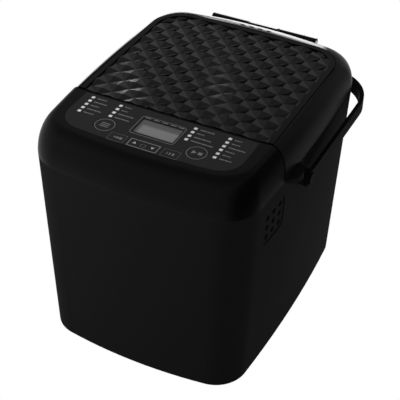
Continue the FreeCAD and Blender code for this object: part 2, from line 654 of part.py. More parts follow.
chamber = oven_box(skin, floor_z - skin, deck_top + skin)
chamber = chamber.fuse(oven_box(skin + flange, deck_top, deck_top + skin))
chamber = chamber.cut(oven_box(0, floor_z, seam + 20))
chamber = chamber.cut(post(size("drive_shaft_radius") + 3, 0, oven_y, floor_z - 5, floor_z + 5))
lead_x = size("heater_lead")
heater_z = size("heater_level")
heater_r = size("heater_radius")
chamber_front = oven_y - half_d
for x in (-lead_x, lead_x):
    chamber = chamber.cut(bar_y(heater_r, x, chamber_front - 10, chamber_front + 10, heater_z))
probe_x = 40.0
probe_z = 105.0
probe_radius = size("probe_radius")
chamber = chamber.cut(bar_y(probe_radius, probe_x, chamber_front - 10, chamber_front + 10, probe_z))
NODES["oven_chamber"] = formed("oven_chamber", chamber)

# Deck: the moulded ring between the chamber and the housing.
deck = prism(body_wire(deck_level, wall + size("fit_gap")), size("deck_thickness"))
deck = deck.cut(oven_box(skin + size("fit_gap"), deck_level - 1, deck_top + 1))
for x, y in four(deck_screw_x, -deck_screw_y, deck_screw_y):
    deck = deck.cut(post(screw_radius, x, y, deck_level - 1, deck_top + 1))
NODES["top_deck"] = formed("top_deck", deck)

# Heater: one sheathed tube round the foot of the chamber, its two ends through the front wall.
bend = size("heater_bend")
loop_w = size("heater_half_width")
loop_front = oven_y - size("heater_half_depth")
loop_rear = oven_y + size("heater_half_depth")
lead_bend = 8.0
lead_end = chamber_front - 12


def at(x, y):
    return Vector(x, y, heater_z)


def arc_about(x, y, radius, first, second):
    points = []
    for degrees in (first, (first + second) / 2, second):
        angle = math.radians(degrees)
        points.append(at(x + radius * math.cos(angle), y + radius * math.sin(angle)))
    return Part.Arc(*points).toShape()


path = [Part.makeLine(at(lead_x, lead_end), at(lead_x, loop_front - lead_bend)),
        arc_about(lead_x + lead_bend, loop_front - lead_bend, lead_bend, 180, 90),
        Part.makeLine(at(lead_x + lead_bend, loop_front), at(loop_w - bend, loop_front)),
        arc_about(loop_w - bend, loop_front + bend, bend, -90, 0),
        Part.makeLine(at(loop_w, loop_front + bend), at(loop_w, loop_rear - bend)),
        arc_about(loop_w - bend, loop_rear - bend, bend, 0, 90),
        Part.makeLine(at(loop_w - bend, loop_rear), at(bend - loop_w, loop_rear)),
        arc_about(bend - loop_w, loop_rear - bend, bend, 90, 180),
        Part.makeLine(at(-loop_w, loop_rear - bend), at(-loop_w, loop_front + bend)),
        arc_about(bend - loop_w, loop_front + bend, bend, 180, 270),
        Part.makeLine(at(bend - loop_w, loop_front), at(-lead_x - lead_bend, loop_front)),
        arc_about(-lead_x - lead_bend, loop_front - lead_bend, lead_bend, 90, 0),
        Part.makeLine(at(-lead_x, loop_front - lead_bend), at(-lead_x, lead_end))]
ring = Part.Wire([Part.makeCircle(heater_r, at(lead_x, lead_end), Vector(0, 1, 0))])
NODES["heater_element"] = formed("heater_element", Part.Wire(path).makePipeShell([ring], True, False))
clips = []
for side in (-1, 1):
    for y in (oven_y - 35, oven_y + 35):
        arm = slab(loop_w - 6, half_w, y - 5, y + 5, heater_z - heater_r - 2, heater_z)
        arm = arm.cut(bar_y(heater_r, loop_w, y - 15, y + 15, heater_z))
        clips.append(arm if side > 0 else arm.mirror(Vector(0, 0, 0), Vector(1, 0, 0)))
NODES["heater_clips"] = formed("heater_clips", Part.makeCompound(clips))

# Temperature probe through the front wall of the chamber.
probe_seat = chamber_front - skin
probe = bar_y(probe_radius, probe_x, probe_seat - 10, chamber_front + size("probe_reach"), probe_z)
probe = probe.fuse(bar_y(6, probe_x, probe_seat - 3, probe_seat, probe_z))
NODES["temperature_probe"] = formed("temperature_probe", probe)

# Control head: the front cap of the housing, with a recess and openings for the control panel.
gap = size("seam_gap")
head_rear = size("seam_position") - gap / 2
lid_front = size("seam_position") + gap / 2
cap_outer = shoulder_solid(0, 0, 0)
head_cavity = shoulder_solid(size("head_wall"), size("head_wall"), 2)
head = cap_outer.common(slab(-BIG, BIG, -BIG, head_rear, 0, BIG))
head = head.cut(head_cavity.common(slab(-BIG, BIG, -BIG, head_rear - size("head_wall"), 0, BIG)))
film = size("overlay_thickness")


def overlay_form(grow, low, high):
    wire = bowed_wire(size("overlay_width") / 2 + grow, size("overlay_front") - grow, 60.0,
                      size("overlay_radius") + grow, 0.05, size("overlay_bow"), low)
    back = slab(-BIG, BIG, -BIG, size("overlay_back") + grow, low - 1, high + 1)
    return prism(wire, high - low).common(back)


head = head.cut(overlay_form(0.1, top - film, top + 5))
board_top = top - size("board_drop")
board_x = size("board_width") / 2 - 5
board_y = (size("board_position") + size("board_depth") / 2 - 5, size("board_position") - 14)
for x in (-board_x, board_x):
    for y in board_y:
        head = head.fuse(post(3.2, x, y, board_top, top - size("head_wall")))
        head = head.cut(post(screw_radius, x, y, board_top - 1, top - size("head_wall")))

# Keys: flush caps with a retaining flange under the head, one tact switch below each.
KEYS = [("menu_key", -size("round_key_offset"), size("round_key_position"), 0),
        ("start_key", size("round_key_offset"), size("round_key_position"), 0),
        ("size_key", -size("small_key_offset"), size("key_position"), size("small_key_width")),
        ("crust_key", size("small_key_offset"), size("key_position"), size("small_key_width")),
        ("up_key", -size("arrow_key_offset"), size("key_position"), size("arrow_key_width")),
        ("down_key", size("arrow_key_offset"), size("key_position"), size("arrow_key_width"))]


def key_form(x, y, width, grow, low, high, facing=0):
    """A key's outline, round or square, grown on every side but the facing one."""
    if width == 0:
        return post(size("round_key_radius") + grow, x, y, low, high)
    half = size("key_depth") / 2 + grow
    left = width / 2 + (0 if facing < 0 else grow)
    right = width / 2 + (0 if facing > 0 else grow)
    return soft_box(x - left, x + right, y - half, y + half, low, high, 1.0)


window_y = size("window_position")
display = (size("display_width") / 2, size("display_depth") / 2)
overlay = overlay_form(0, top - film, top)
half_window = (size("window_width") / 2, size("window_depth") / 2)
overlay = overlay.cut(soft_box(-half_window[0], half_window[0], window_y - half_window[1],
                               window_y + half_window[1], top - 5, top + 5, 0.8))
head = head.cut(slab(-display[0] - 0.3, display[0] + 0.3, window_y - display[1] - 0.3,
                     window_y + display[1] + 0.3, top - 8, top + 5))
switches = []
cap_low = top - size("key_cap")
flange_low = cap_low - size("key_flange")
for name, x, y, width in KEYS:
    opening = key_form(x, y, width, size("key_gap"), top - 8, top + 5)
    overlay = overlay.cut(opening)
    head = head.cut(key_form(x, y, width, size("key_gap"), top - size("key_cap"), top + 5))
    facing = {"up_key": 1, "down_key": -1}.get(name, 0)
    cap = key_form(x, y, width, 0, cap_low, top)
    cap = cap.fuse(key_form(x, y, width, size("key_flange_lip"), flange_low, cap_low, facing))
    NODES[name] = formed(name, cap)
    switch = slab(x - 3, x + 3, y - 3, y + 3, board_top, flange_low - size("key_travel") - 0.35)
    plunger = post(1.6, x, y, board_top + 1, flange_low - size("key_travel") - 0.05)
    switches.append(switch.fuse(plunger))
NODES["control_head"] = formed("control_head", head)
NODES["control_overlay"] = formed("control_overlay", overlay)
NODES["key_switches"] = formed("key_switches", Part.makeCompound(switches))

# Display module on the control board, and the board hung from the head's posts.
board_level = "top_level - board_drop"
NODES["lcd_module"] = block("lcd_module",
                            ("-display_width/2", "window_position - display_depth/2", board_level),
                            ("display_width", "display_depth", "board_drop - overlay_thickness"))
board = block("board_sheet",
              ("-board_width/2", "board_position - board_depth/2", board_level + " - board_thickness"),
              ("board_width", "board_depth", "board_thickness"))
board_holes = []
for x in ("-board_width/2 + 5", "board_width/2 - 5"):
    for y in ("board_position + board_depth/2 - 5", "board_position - 14"):
        board_holes.append(rod("board_screw_hole", "screw_radius", "board_thickness + 2",
                               (x, y, board_level + " - board_thickness - 1")))
NODES["control_board"] = carve("control_board", board, board_holes)
NODES["board_screws"] = screws("board_screws", four(board_x, *board_y),
                               board_top - size("board_thickness"),
                               size("board_thickness") + 5, True, head_sink)

# Lid frame: the rear cap of the housing, hollow below, with a seat for the diamond panel,
# hinge knuckles at the rear, the middle one under a sloped hood, and a row of steam slots.
lid_low = seam + size("lid_gap")
lid_cavity = shoulder_solid(size("head_wall"), size("lid_top_wall"), 2)
lid_cavity = lid_cavity.common(slab(-BIG, BIG, lid_front + size("head_wall"), BIG, 0, BIG))
hinge_y = size("hinge_position")
hinge_z = size("hinge_level")
knuckle_end = size("knuckle_start") + size("knuckle_length")
zone_x = knuckle_end + size("knuckle_gap") + size("end_knuckle") + 4
lid_cavity = lid_cavity.cut(slab(-zone_x, zone_x, size("hinge_block_front"), BIG, 0, BIG))
lid = cap_outer.common(slab(-BIG, BIG, lid_front, BIG, lid_low, BIG))
lid = lid.cut(lid_cavity)


def panel_form(grow, low, high):
    half = size("panel_width") / 2 + grow
    rear = size("panel_rear") + grow
    form = soft_box(-half, half, lid_front - 150, rear, low, high, size("panel_radius") + grow)
    return form.common(slab(-BIG, BIG, lid_front, BIG, low - 1, high + 1))


panel_low = top - size("panel_depth")
lid = lid.cut(panel_form(size("panel_groove"), panel_low, top + 5))
end_from = knuckle_end + size("knuckle_gap")
for x_from, x_to in ((-size("centre_knuckle") / 2, size("centre_knuckle") / 2),
                     (end_from, end_from + size("end_knuckle")),
                     (-end_from - size("end_knuckle"), -end_from)):
    lid = lid.fuse(bar_x(size("hinge_radius"), x_from, x_to, hinge_y, hinge_z))
hood = Part.makePolygon([Vector(-size("centre_knuckle") / 2, hinge_y - size("hinge_radius"), hinge_z),
                         Vector(-size("centre_knuckle") / 2, hinge_y + size("hinge_radius"), hinge_z),
                         Vector(-size("centre_knuckle") / 2, hinge_y + size("hinge_radius"),
                                hinge_z + size("hood_rear_rise")),
                         Vector(-size("centre_knuckle") / 2, hinge_y - size("hinge_radius"),
                                hinge_z + size("hood_front_rise")),
                         Vector(-size("centre_knuckle") / 2, hinge_y - size("hinge_radius"), hinge_z)])
lid = lid.fuse(Part.Face(hood).extrude(Vector(size("centre_knuckle"), 0, 0)))
for side in (-1, 1):
    notch_from = size("knuckle_start") - size("knuckle_gap")
    notch_to = knuckle_end + size("knuckle_gap")
    ends = sorted((side * notch_from, side * notch_to))
    lid = lid.cut(slab(ends[0], ends[1], size("hinge_notch_front"), BIG, 0, BIG))
lid = lid.cut(bar_x(size("hinge_pin_radius") + size("hinge_clearance"), -BIG, BIG, hinge_y, hinge_z))
slot_half = size("steam_slot_length") / 2
slot_front = size("panel_rear") + size("steam_slot_setback") - size("steam_slot_width") / 2
for step in (-1.5, -0.5, 0.5, 1.5):
    slot_x = step * size("steam_slot_pitch")
    lid = lid.cut(soft_box(slot_x - slot_half, slot_x + slot_half, slot_front,
                           slot_front + size("steam_slot_width"), top - 12, top + 5, 0.8))
liner_top = lid_low + size("liner_rise")
liner_thickness = size("liner_thickness")
lid_post_x = size("lid_post_offset")
lid_post_y = (lid_front + size("lid_post_lead"), size("panel_rear") - size("lid_post_tail"))
for x in (-lid_post_x, lid_post_x):
    for y in lid_post_y:
        lid = lid.fuse(post(4, x, y, liner_top, top - size("lid_top_wall") + 0.5))
        lid = lid.cut(post(screw_radius, x, y, liner_top - 1, liner_top + 10))
NODES["lid_frame"] = formed("lid_frame", lid)

# Diamond panel: two crossing zig-zag prisms leave a field of square pyramids,
# framed by a flat rim that is level with their tips.
pitch = size("diamond_half") * math.sqrt(2)
valley = top - size("diamond_relief")
teeth = math.ceil(size("body_depth") / pitch)
ridge = [Vector(-teeth * pitch, 0, panel_low), Vector(teeth * pitch, 0, panel_low)]
for step in range(2 * teeth, -2 * teeth - 1, -1):
    ridge.append(Vector(step * pitch / 2, 0, top if step % 2 == 0 else valley))
ridge.append(ridge[0])
zigzag = Part.Face(Part.makePolygon(ridge)).extrude(Vector(0, 2 * teeth * pitch, 0))
zigzag.translate(Vector(0, -teeth * pitch, 0))
crossing = zigzag.copy()
zigzag.rotate(Vector(0, 0, 0), Vector(0, 0, 1), 45)
crossing.rotate(Vector(0, 0, 0), Vector(0, 0, 1), -45)
for piece in (zigzag, crossing):
    piece.translate(Vector(0, size("diamond_datum"), 0))
field_half = size("field_width") / 2
field = soft_box(-field_half, field_half, lid_front - 150, size("field_rear"), panel_low, top + 1,
                 size("field_radius"))
field = field.common(slab(-BIG, BIG, lid_front, BIG, panel_low, top + 1))
relief = zigzag.common(field).common(crossing)
panel = panel_form(0, panel_low, top).cut(field).fuse(relief)
NODES["lid_panel"] = formed("lid_panel", panel)

# Lid liner: the steel sheet under the lid, screwed to four posts.
liner = prism(bowed_wire(size("body_width") / 2 - size("head_wall") - 1.2, -size("body_depth") / 2 + 10,
                         size("body_depth") / 2 - 12, size("corner_radius") - 3, size("side_bow"),
                         size("end_bow"), liner_top - liner_thickness), liner_thickness)
liner = liner.common(slab(-BIG, BIG, lid_front + size("head_wall") + size("fit_gap"),
                          size("hinge_block_front") - size("fit_gap"), 0, BIG))
for x in (-lid_post_x, lid_post_x):
    for y in lid_post_y:
        liner = liner.cut(post(screw_radius, x, y, liner_top - 5, liner_top + 5))
NODES["lid_liner"] = formed("lid_liner", liner)
NODES["lid_screws"] = screws("lid_screws", four(lid_post_x, *lid_post_y), liner_top - liner_thickness,
                             liner_thickness + 9, True, 0.8)

# Hinge brackets on the deck and the pin through all knuckles.
brackets = []
for side in (-1, 1):
    ends = sorted((side * size("knuckle_start"), side * knuckle_end))
    foot = slab(ends[0], ends[1], size("hinge_notch_front") + 0.6, hinge_y, deck_top, deck_top + 2)
    upright = slab(ends[0], ends[1], hinge_y - 4, hinge_y + 4, seam + 0.2, hinge_z)
    neck = slab(ends[0], ends[1], hinge_y - 4, hinge_y, deck_top, seam + 1)
    barrel = bar_x(size("hinge_radius"), ends[0], ends[1], hinge_y, hinge_z)
    bracket = foot.fuse(neck).fuse(upright).fuse(barrel)
    bracket = bracket.cut(bar_x(size("hinge_pin_radius"), -BIG, BIG, hinge_y, hinge_z))
    brackets.append(bracket)
NODES["hinge_brackets"] = formed("hinge_brackets", Part.makeCompound(brackets))
NODES["hinge_pin"] = rod("hinge_pin", "hinge_pin_radius",
                         "2 * (knuckle_start + knuckle_length + knuckle_gap + end_knuckle)",
                         ("-(knuckle_start + knuckle_length + knuckle_gap + end_knuckle)", "hinge_position",
                          "hinge_level"), "x")

# Pivot pins of the carry handle, pressed into the housing bosses.
pin_cap = pin_end + size("boss_gap")
pin_tip = pin_cap + size("pin_cap_height")
pin = bar_x(size("pivot_radius"), pin_inner, pin_tip, pivot_y, pivot_z)
pin = pin.fuse(bar_x(size("pin_cap_radius"), pin_cap, pin_tip, pivot_y, pivot_z))
NODES["handle_pivot_pins"] = formed("handle_pivot_pins", Part.makeCompound(both_sides(pin)))

# Carry handle: a U-shaped strap, thicker at the grip, with a round eye at each pivot.
strap = doc.addObject("PartDesign::Body", "handle_strap")
strap_out = "arm_inner + arm_thickness"
grip_out = "bar_inner + bar_thickness"
strap_sketch = sketched(strap, "strap_outline", "XY_Plane", "pivot_level - arm_height/2", [
    ("-(" + strap_out + ")", "pivot_position"), ("-arm_inner", "pivot_position"),
    ("-arm_inner", "bar_inner"), ("arm_inner", "bar_inner"),
    ("arm_inner", "pivot_position"), (strap_out, "pivot_position"),
    (strap_out, grip_out), ("-(" + strap_out + ")", grip_out)])
strap_pad = strap.newObject("PartDesign::Pad", "strap_pad")
strap_pad.Profile = strap_sketch
strap_pad.setExpression("Length", bound("arm_height"))
doc.recompute()


def upright_edges(shape, x, y):
    """The names of the two upright edges at plus and minus x."""
    names = []
    for number, edge in enumerate(shape.Edges, start=1):
        first = edge.Vertexes[0].Point
        last = edge.Vertexes[-1].Point
        level = math.hypot(first.x - last.x, first.y - last.y)
        if level < 0.001 and math.hypot(abs(first.x) - x, first.y - y) < 0.001:
            names.append(f"Edge{number}")
    return names


inner_bend = strap.newObject("PartDesign::Fillet", "strap_inner_bend")
inner_bend.Base = (strap_pad, upright_edges(strap_pad.Shape, size("arm_inner"), size("bar_inner")))
inner_bend.setExpression("Radius", bound("bend_radius"))
doc.recompute()
outer_bend = strap.newObject("PartDesign::Fillet", "strap_outer_bend")
outer_bend.Base = (inner_bend, upright_edges(inner_bend.Shape, measure(strap_out), measure(grip_out)))
outer_bend.setExpression("Radius", bound("bend_radius + bend_swell"))
strap.Tip = outer_bend
eyes = [rod("handle_eye", "hub_radius", "arm_thickness", (x, "pivot_position", "pivot_level"), "x")
        for x in ("arm_inner", "-arm_inner - arm_thickness")]
eye_bore = rod("handle_eye_bore", "pivot_radius + pivot_clearance", "2 * body_width",
               ("-body_width", "pivot_position", "pivot_level"), "x")
NODES["carry_handle"] = carve("carry_handle", join("handle_form", [strap] + eyes), [eye_bore])

# Bread pan: a drawn tapered box with a rolled lip, a foot ring and a shaft bush in its floor.
pan_wall = size("pan_wall")
pan_floor = size("pan_floor")
pan_rim = size("pan_rim")


def pan_wire(level, inset):
    draft = size("pan_draft") * (pan_rim - level) / (pan_rim - pan_floor)
    x = size("pan_width") / 2 - draft - inset
    y = size("pan_depth") / 2 - draft - inset
    return soft_wire(-x, x, oven_y - y, oven_y + y, level, size("pan_radius") - inset)


pan_outer = Part.makeLoft([pan_wire(pan_floor, 0), pan_wire(pan_rim, 0)], True, True)
pan_inner = Part.makeLoft([pan_wire(pan_floor + pan_wall, pan_wall),
                           pan_wire(pan_rim + 1, pan_wall)], True, True)
pan_lip = size("pan_lip")
pan = pan_outer.fuse(prism(pan_wire(pan_rim, -pan_lip), -pan_wall)).cut(pan_inner)
bush_radius = 8.0
pan = pan.cut(post(bush_radius, 0, oven_y, pan_floor - 5, pan_floor + 10))
NODES["bread_pan"] = formed("bread_pan", pan)

# Foot ring and bush of the pan.
collar = rod("collar_outer", "collar_radius", "pan_floor - chamber_floor - running_gap",
             ("0", "chamber_position", "chamber_floor + running_gap"))
collar_core = rod("collar_core", "collar_radius - collar_wall", "40",
                  ("0", "chamber_position", "chamber_floor - 5"))
NODES["pan_collar"] = carve("pan_collar", collar, [collar_core])
bush_form = join("bush_form", [rod("bush_flange", "14", "3", ("0", "chamber_position", "pan_floor - 3")),
                               rod("bush_barrel", "8", "9", ("0", "chamber_position", "pan_floor - 1"))])
bush_bore = rod("bush_bore", "pan_shaft_radius + running_gap", "40",
                ("0", "chamber_position", "pan_floor - 20"))
NODES["pan_bush"] = carve("pan_bush", bush_form, [bush_bore])

# Leaf clips on the chamber floor, either side of the foot ring.
clip_x = size("collar_radius") + 0.6
clip = slab(clip_x, clip_x + 1.5, oven_y - 10, oven_y + 10, floor_z, floor_z + 14)
clip = clip.fuse(slab(clip_x, clip_x + 12, oven_y - 10, oven_y + 10, floor_z, floor_z + 1.2))
NODES["pan_clips"] = formed("pan_clips", Part.makeCompound(both_sides(clip)))

# Ears of the pan under its lip, and the wire bail that swings in them.
bail_r = size("bail_radius")
bail_z = size("bail_pivot_level")
ear_plate = slab(size("pan_width") / 2 - 4, size("pan_width") / 2 + 5.5, oven_y - 8, oven_y + 8,
                 bail_z - 10, pan_rim - pan_wall - 0.1)
ear_plate = ear_plate.cut(pan_outer)
ear_plate = ear_plate.cut(bar_x(bail_r + size("running_gap"), 0, BIG, oven_y, bail_z))
NODES["pan_ears"] = formed("pan_ears", Part.makeCompound(both_sides(ear_plate)))
bail_x = size("bail_offset")
bail_s = size("bail_arm")
bail_lean = math.asin((pan_rim + bail_r + 0.4 - bail_z) / bail_s)
bail_start = size("pan_width") / 2 + 1.6
foot_bend = 4.0
grip_bend = 8.0


def bail_point(x, s):
    return Vector(x, oven_y + s * math.cos(bail_lean), bail_z + s * math.sin(bail_lean))


def bail_arc(x, s, radius, first, second):
    points = []
    for degrees in (first, (first + second) / 2, second):
        angle = math.radians(degrees)
        points.append(bail_point(x + radius * math.cos(angle), s + radius * math.sin(angle)))
    return Part.Arc(*points).toShape()


bail_path = [Part.makeLine(bail_point(bail_start, 0), bail_point(bail_x - foot_bend, 0)),
             bail_arc(bail_x - foot_bend, foot_bend, foot_bend, -90, 0),
             Part.makeLine(bail_point(bail_x, foot_bend), bail_point(bail_x, bail_s - grip_bend)),
             bail_arc(bail_x - grip_bend, bail_s - grip_bend, grip_bend, 0, 90),
             Part.makeLine(bail_point(bail_x - grip_bend, bail_s),
                           bail_point(grip_bend - bail_x, bail_s)),
             bail_arc(grip_bend - bail_x, bail_s - grip_bend, grip_bend, 90, 180),
             Part.makeLine(bail_point(-bail_x, bail_s - grip_bend), bail_point(-bail_x, foot_bend)),
             bail_arc(foot_bend - bail_x, foot_bend, foot_bend, 180, 270),
             Part.makeLine(bail_point(foot_bend - bail_x, 0), bail_point(-bail_start, 0))]
bail_ring = Part.Wire([Part.makeCircle(bail_r, bail_point(bail_start, 0), Vector(1, 0, 0))])
NODES["pan_handle"] = formed("pan_handle", Part.Wire(bail_path).makePipeShell([bail_ring], True, False))

# Kneading gear in the pan: shaft, cross bar below, paddle above.
shaft_form = [rod("pan_shaft_rod", "pan_shaft_radius", "pan_floor + 32 - chamber_floor - 4.8",
                  ("0", "chamber_position", "chamber_floor + 4.8")),
              rod("pan_shaft_shoulder", "pan_shaft_radius + 2", "0.7",
                  ("0", "chamber_position", "pan_floor + 8.3"))]
NODES["pan_shaft"] = join("pan_shaft", shaft_form)
coupling = block("coupling_bar", ("-15", "chamber_position - 3.5", "chamber_floor + 4.8"),
                 ("30", "7", "pan_floor - chamber_floor - 8.8"))
coupling_bore = rod("coupling_bore", "pan_shaft_radius", "30", ("0", "chamber_position", "chamber_floor"))
coupling_hub = rod("coupling_hub", "pan_shaft_radius + 1.5", "pan_floor - chamber_floor - 8.8",
                   ("0", "chamber_position", "chamber_floor + 4.8"))
coupling_form = join("coupling_form", [coupling, coupling_hub])
NODES["pan_coupling"] = carve("pan_coupling", coupling_form, [coupling_bore])
paddle_low = pan_floor + 9
outline = [(-4, -9), (12, -10), (30, -7), (46, 2), (48, 9), (42, 9), (28, 4), (12, 7), (-4, 9)]
curve = Part.BSplineCurve()
curve.interpolate([Vector(x, oven_y + y, paddle_low) for x, y in outline], PeriodicFlag=True)
blade = Part.Face(Part.Wire([curve.toShape()])).extrude(Vector(0, 0, 30))
fall = Part.makePolygon([Vector(-20, 0, paddle_low + 28), Vector(60, 0, paddle_low + 10),
                         Vector(60, 0, paddle_low + 40), Vector(-20, 0, paddle_low + 40),
                         Vector(-20, 0, paddle_low + 28)])
blade = blade.cut(Part.Face(fall).extrude(Vector(0, BIG, 0)))
blade = blade.cut(Part.Face(fall).extrude(Vector(0, -BIG, 0)))
paddle = post(10, 0, oven_y, paddle_low, paddle_low + 21).fuse(blade)
paddle = paddle.cut(post(size("pan_shaft_radius"), 0, oven_y, paddle_low - 1, pan_floor + 32))
NODES["kneading_paddle"] = formed("kneading_paddle", paddle)

# Every piece moves by one shift, so that the whole object stands centred on the origin.
for name, piece in NODES.items():
    piece.Label = name
    held = {path.strip("."): text for path, text in piece.ExpressionEngine}
    place = held.get("Placement.Base.y", "0")
    piece.setExpression("Placement.Base.y", "(" + place + ") + Sizes.frame_shift")
doc.recompute()
problems = []
for piece in doc.Objects:
    if "Invalid" in piece.State or "Error" in piece.State:
        problems.append(piece.Name + " is not computed")
for name, piece in NODES.items():
    if piece.Shape.isNull() or not piece.Shape.isValid():
        problems.append(name + " has no valid shape")
if problems:
    raise RuntimeError("; ".join(problems))
os.makedirs("parts", exist_ok=True)
for name, piece in NODES.items():
    piece.Shape.exportStep("parts/" + name + ".step")
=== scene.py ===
import math

import bmesh
import bpy
from mathutils import Matrix, Vector


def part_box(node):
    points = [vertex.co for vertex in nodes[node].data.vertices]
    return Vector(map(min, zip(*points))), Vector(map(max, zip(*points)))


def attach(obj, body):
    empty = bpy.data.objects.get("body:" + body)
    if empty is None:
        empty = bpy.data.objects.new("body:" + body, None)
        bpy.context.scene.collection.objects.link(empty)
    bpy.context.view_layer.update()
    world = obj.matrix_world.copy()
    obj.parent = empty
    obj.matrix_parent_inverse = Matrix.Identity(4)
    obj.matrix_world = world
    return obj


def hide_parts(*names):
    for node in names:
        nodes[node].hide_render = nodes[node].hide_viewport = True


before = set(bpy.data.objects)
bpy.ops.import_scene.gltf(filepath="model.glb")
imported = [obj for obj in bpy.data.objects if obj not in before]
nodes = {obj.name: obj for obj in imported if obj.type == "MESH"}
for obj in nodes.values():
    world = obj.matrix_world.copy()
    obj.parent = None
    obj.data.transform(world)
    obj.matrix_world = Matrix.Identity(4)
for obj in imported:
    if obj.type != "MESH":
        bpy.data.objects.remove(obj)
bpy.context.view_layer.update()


# Housing shell: one tapered tub, injection-moulded in charcoal plastic with a fine spark-eroded
# texture on its walls. The vents, handle bosses and ears come out of the same mould. A painted
# shade darkens the wall in a band under the lid's edge, behind each arm of the handle.
def feed(tree, socket, value):
    """Links a socket to another one, or sets it to a plain value."""
    if isinstance(value, bpy.types.NodeSocket):
        tree.links.new(value, socket)
    else:
        socket.default_value = value


def reckon(tree, operation, *values):
    """Works out one value over the surface from others."""
    node = tree.nodes.new("ShaderNodeMath")
    node.operation = operation
    for socket, value in zip(node.inputs, values):
        feed(tree, socket, value)
    return node.outputs[0]


def ramp(tree, value, start, end, low=0.0, high=1.0, curve="SMOOTHSTEP"):
    """Goes from low to high while a value goes from start to end."""
    node = tree.nodes.new("ShaderNodeMapRange")
    node.interpolation_type = curve
    for socket, number in (("Value", value), ("From Min", start), ("From Max", end),
                           ("To Min", low), ("To Max", high)):
        feed(tree, node.inputs[socket], number)
    return node.outputs["Result"]


def noise(tree, place, scale, detail):
    """A soft noise over the surface."""
    node = tree.nodes.new("ShaderNodeTexNoise")
    tree.links.new(place, node.inputs["Vector"])
    feed(tree, node.inputs["Scale"], scale)
    node.inputs["Detail"].default_value = detail
    return node.outputs["Fac"]


def axes(tree, coordinates):
    """X, Y and Z of each point of the surface, or of the way that it faces."""
    where = tree.nodes.new("ShaderNodeTexCoord")
    parts = tree.nodes.new("ShaderNodeSeparateXYZ")
    tree.links.new(where.outputs[coordinates], parts.inputs["Vector"])
    return parts.outputs


def texture_group(name, **inputs):
    """A node group for a texture, with its own inputs, that puts out colour, roughness and height."""
    group = bpy.data.node_groups.new(name, "ShaderNodeTree")
    outputs = {"Color": "Color", "Roughness": "Float", "Height": "Float"}
    for way, sockets in (("INPUT", inputs), ("OUTPUT", outputs)):
        for socket, kind in sockets.items():
            group.interface.new_socket(socket.replace("_", " "), in_out=way,
                                       socket_type="NodeSocket" + kind)
    return group, group.nodes.new("NodeGroupInput").outputs, group.nodes.new("NodeGroupOutput").inputs


def textured(name, group, relief, **values):
    """A finish that takes its colour, roughness and relief from a texture, at its own values."""
    finish = bpy.data.materials.new(name)
    finish.use_nodes = True
    tree = finish.node_tree
    surface = tree.nodes["Principled BSDF"]
    texture = tree.nodes.new("ShaderNodeGroup")
    texture.name = "texture"
    texture.node_tree = group
    for socket, value in values.items():
        texture.inputs[socket.replace("_", " ")].default_value = value
    bump = tree.nodes.new("ShaderNodeBump")
    bump.name = "relief"
    bump.inputs["Distance"].default_value = relief
    tree.links.new(texture.outputs["Color"], surface.inputs["Base Color"])
    tree.links.new(texture.outputs["Roughness"], surface.inputs["Roughness"])
    tree.links.new(texture.outputs["Height"], bump.inputs["Height"])
    tree.links.new(bump.outputs["Normal"], surface.inputs["Normal"])
    return finish


grain, given, made = texture_group("moulded_grain", Grain_size="Float", Base_tone="Float",
                                   Tone_spread="Float", Base_roughness="Float", Roughness_spread="Float")
place = grain.nodes.new("ShaderNodeTexCoord").outputs["Object"]
fine = noise(grain, place, scale=given["Grain size"], detail=3.0)
broad = noise(grain, place, scale=14.0, detail=2.0)
fine_swing = reckon(grain, "SUBTRACT", fine, 0.5)
broad_swing = reckon(grain, "SUBTRACT", broad, 0.5)
lightness = reckon(grain, "MULTIPLY_ADD", fine_swing, given["Tone spread"], 1.0)
shade = reckon(grain, "MULTIPLY", lightness, given["Base tone"])
tint = grain.nodes.new("ShaderNodeCombineColor")
for channel in ("Red", "Green", "Blue"):
    grain.links.new(shade, tint.inputs[channel])
dullness = reckon(grain, "MULTIPLY_ADD", broad_swing, given["Roughness spread"], given["Base roughness"])
grain.links.new(tint.outputs["Color"], made["Color"])
grain.links.new(dullness, made["Roughness"])
grain.links.new(fine, made["Height"])


def moulded(name, tone, rough, specular, size=900.0, relief=0.00003, tone_spread=0.3, soften=0.0):
    """A moulded plastic: grain in colour, roughness and relief, with softened edges where asked."""
    finish = textured(name, grain, relief, Grain_size=size, Base_tone=tone, Tone_spread=tone_spread,
                      Base_roughness=rough, Roughness_spread=0.08)
    tree = finish.node_tree
    tree.nodes["Principled BSDF"].inputs["Specular IOR Level"].default_value = specular
    if soften > 0:
        edge = tree.nodes.new("ShaderNodeBevel")
        edge.samples = 4
        edge.inputs["Radius"].default_value = soften
        tree.links.new(edge.outputs["Normal"], tree.nodes["relief"].inputs["Normal"])
    return finish


def recolour(finish, colour, share, blend="MIX"):
    """Brings a second colour into a finish, by a share that may change over the surface."""
    tree = finish.node_tree
    mix = tree.nodes.new("ShaderNodeMix")
    mix.data_type = "RGBA"
    mix.blend_type = blend
    mix.inputs["B"].default_value = (*colour, 1)
    feed(tree, mix.inputs["Factor"], share)
    tree.links.new(tree.nodes["texture"].outputs["Color"], mix.inputs["A"])
    tree.links.new(mix.outputs["Result"], tree.nodes["Principled BSDF"].inputs["Base Color"])


def dress(finish, *names):
    """Gives a finish to every material slot of the named pieces of the frame."""
    for name in names:
        mesh = nodes[name].data
        if not mesh.materials:
            mesh.materials.append(finish)
        for index in range(len(mesh.materials)):
            mesh.materials[index] = finish


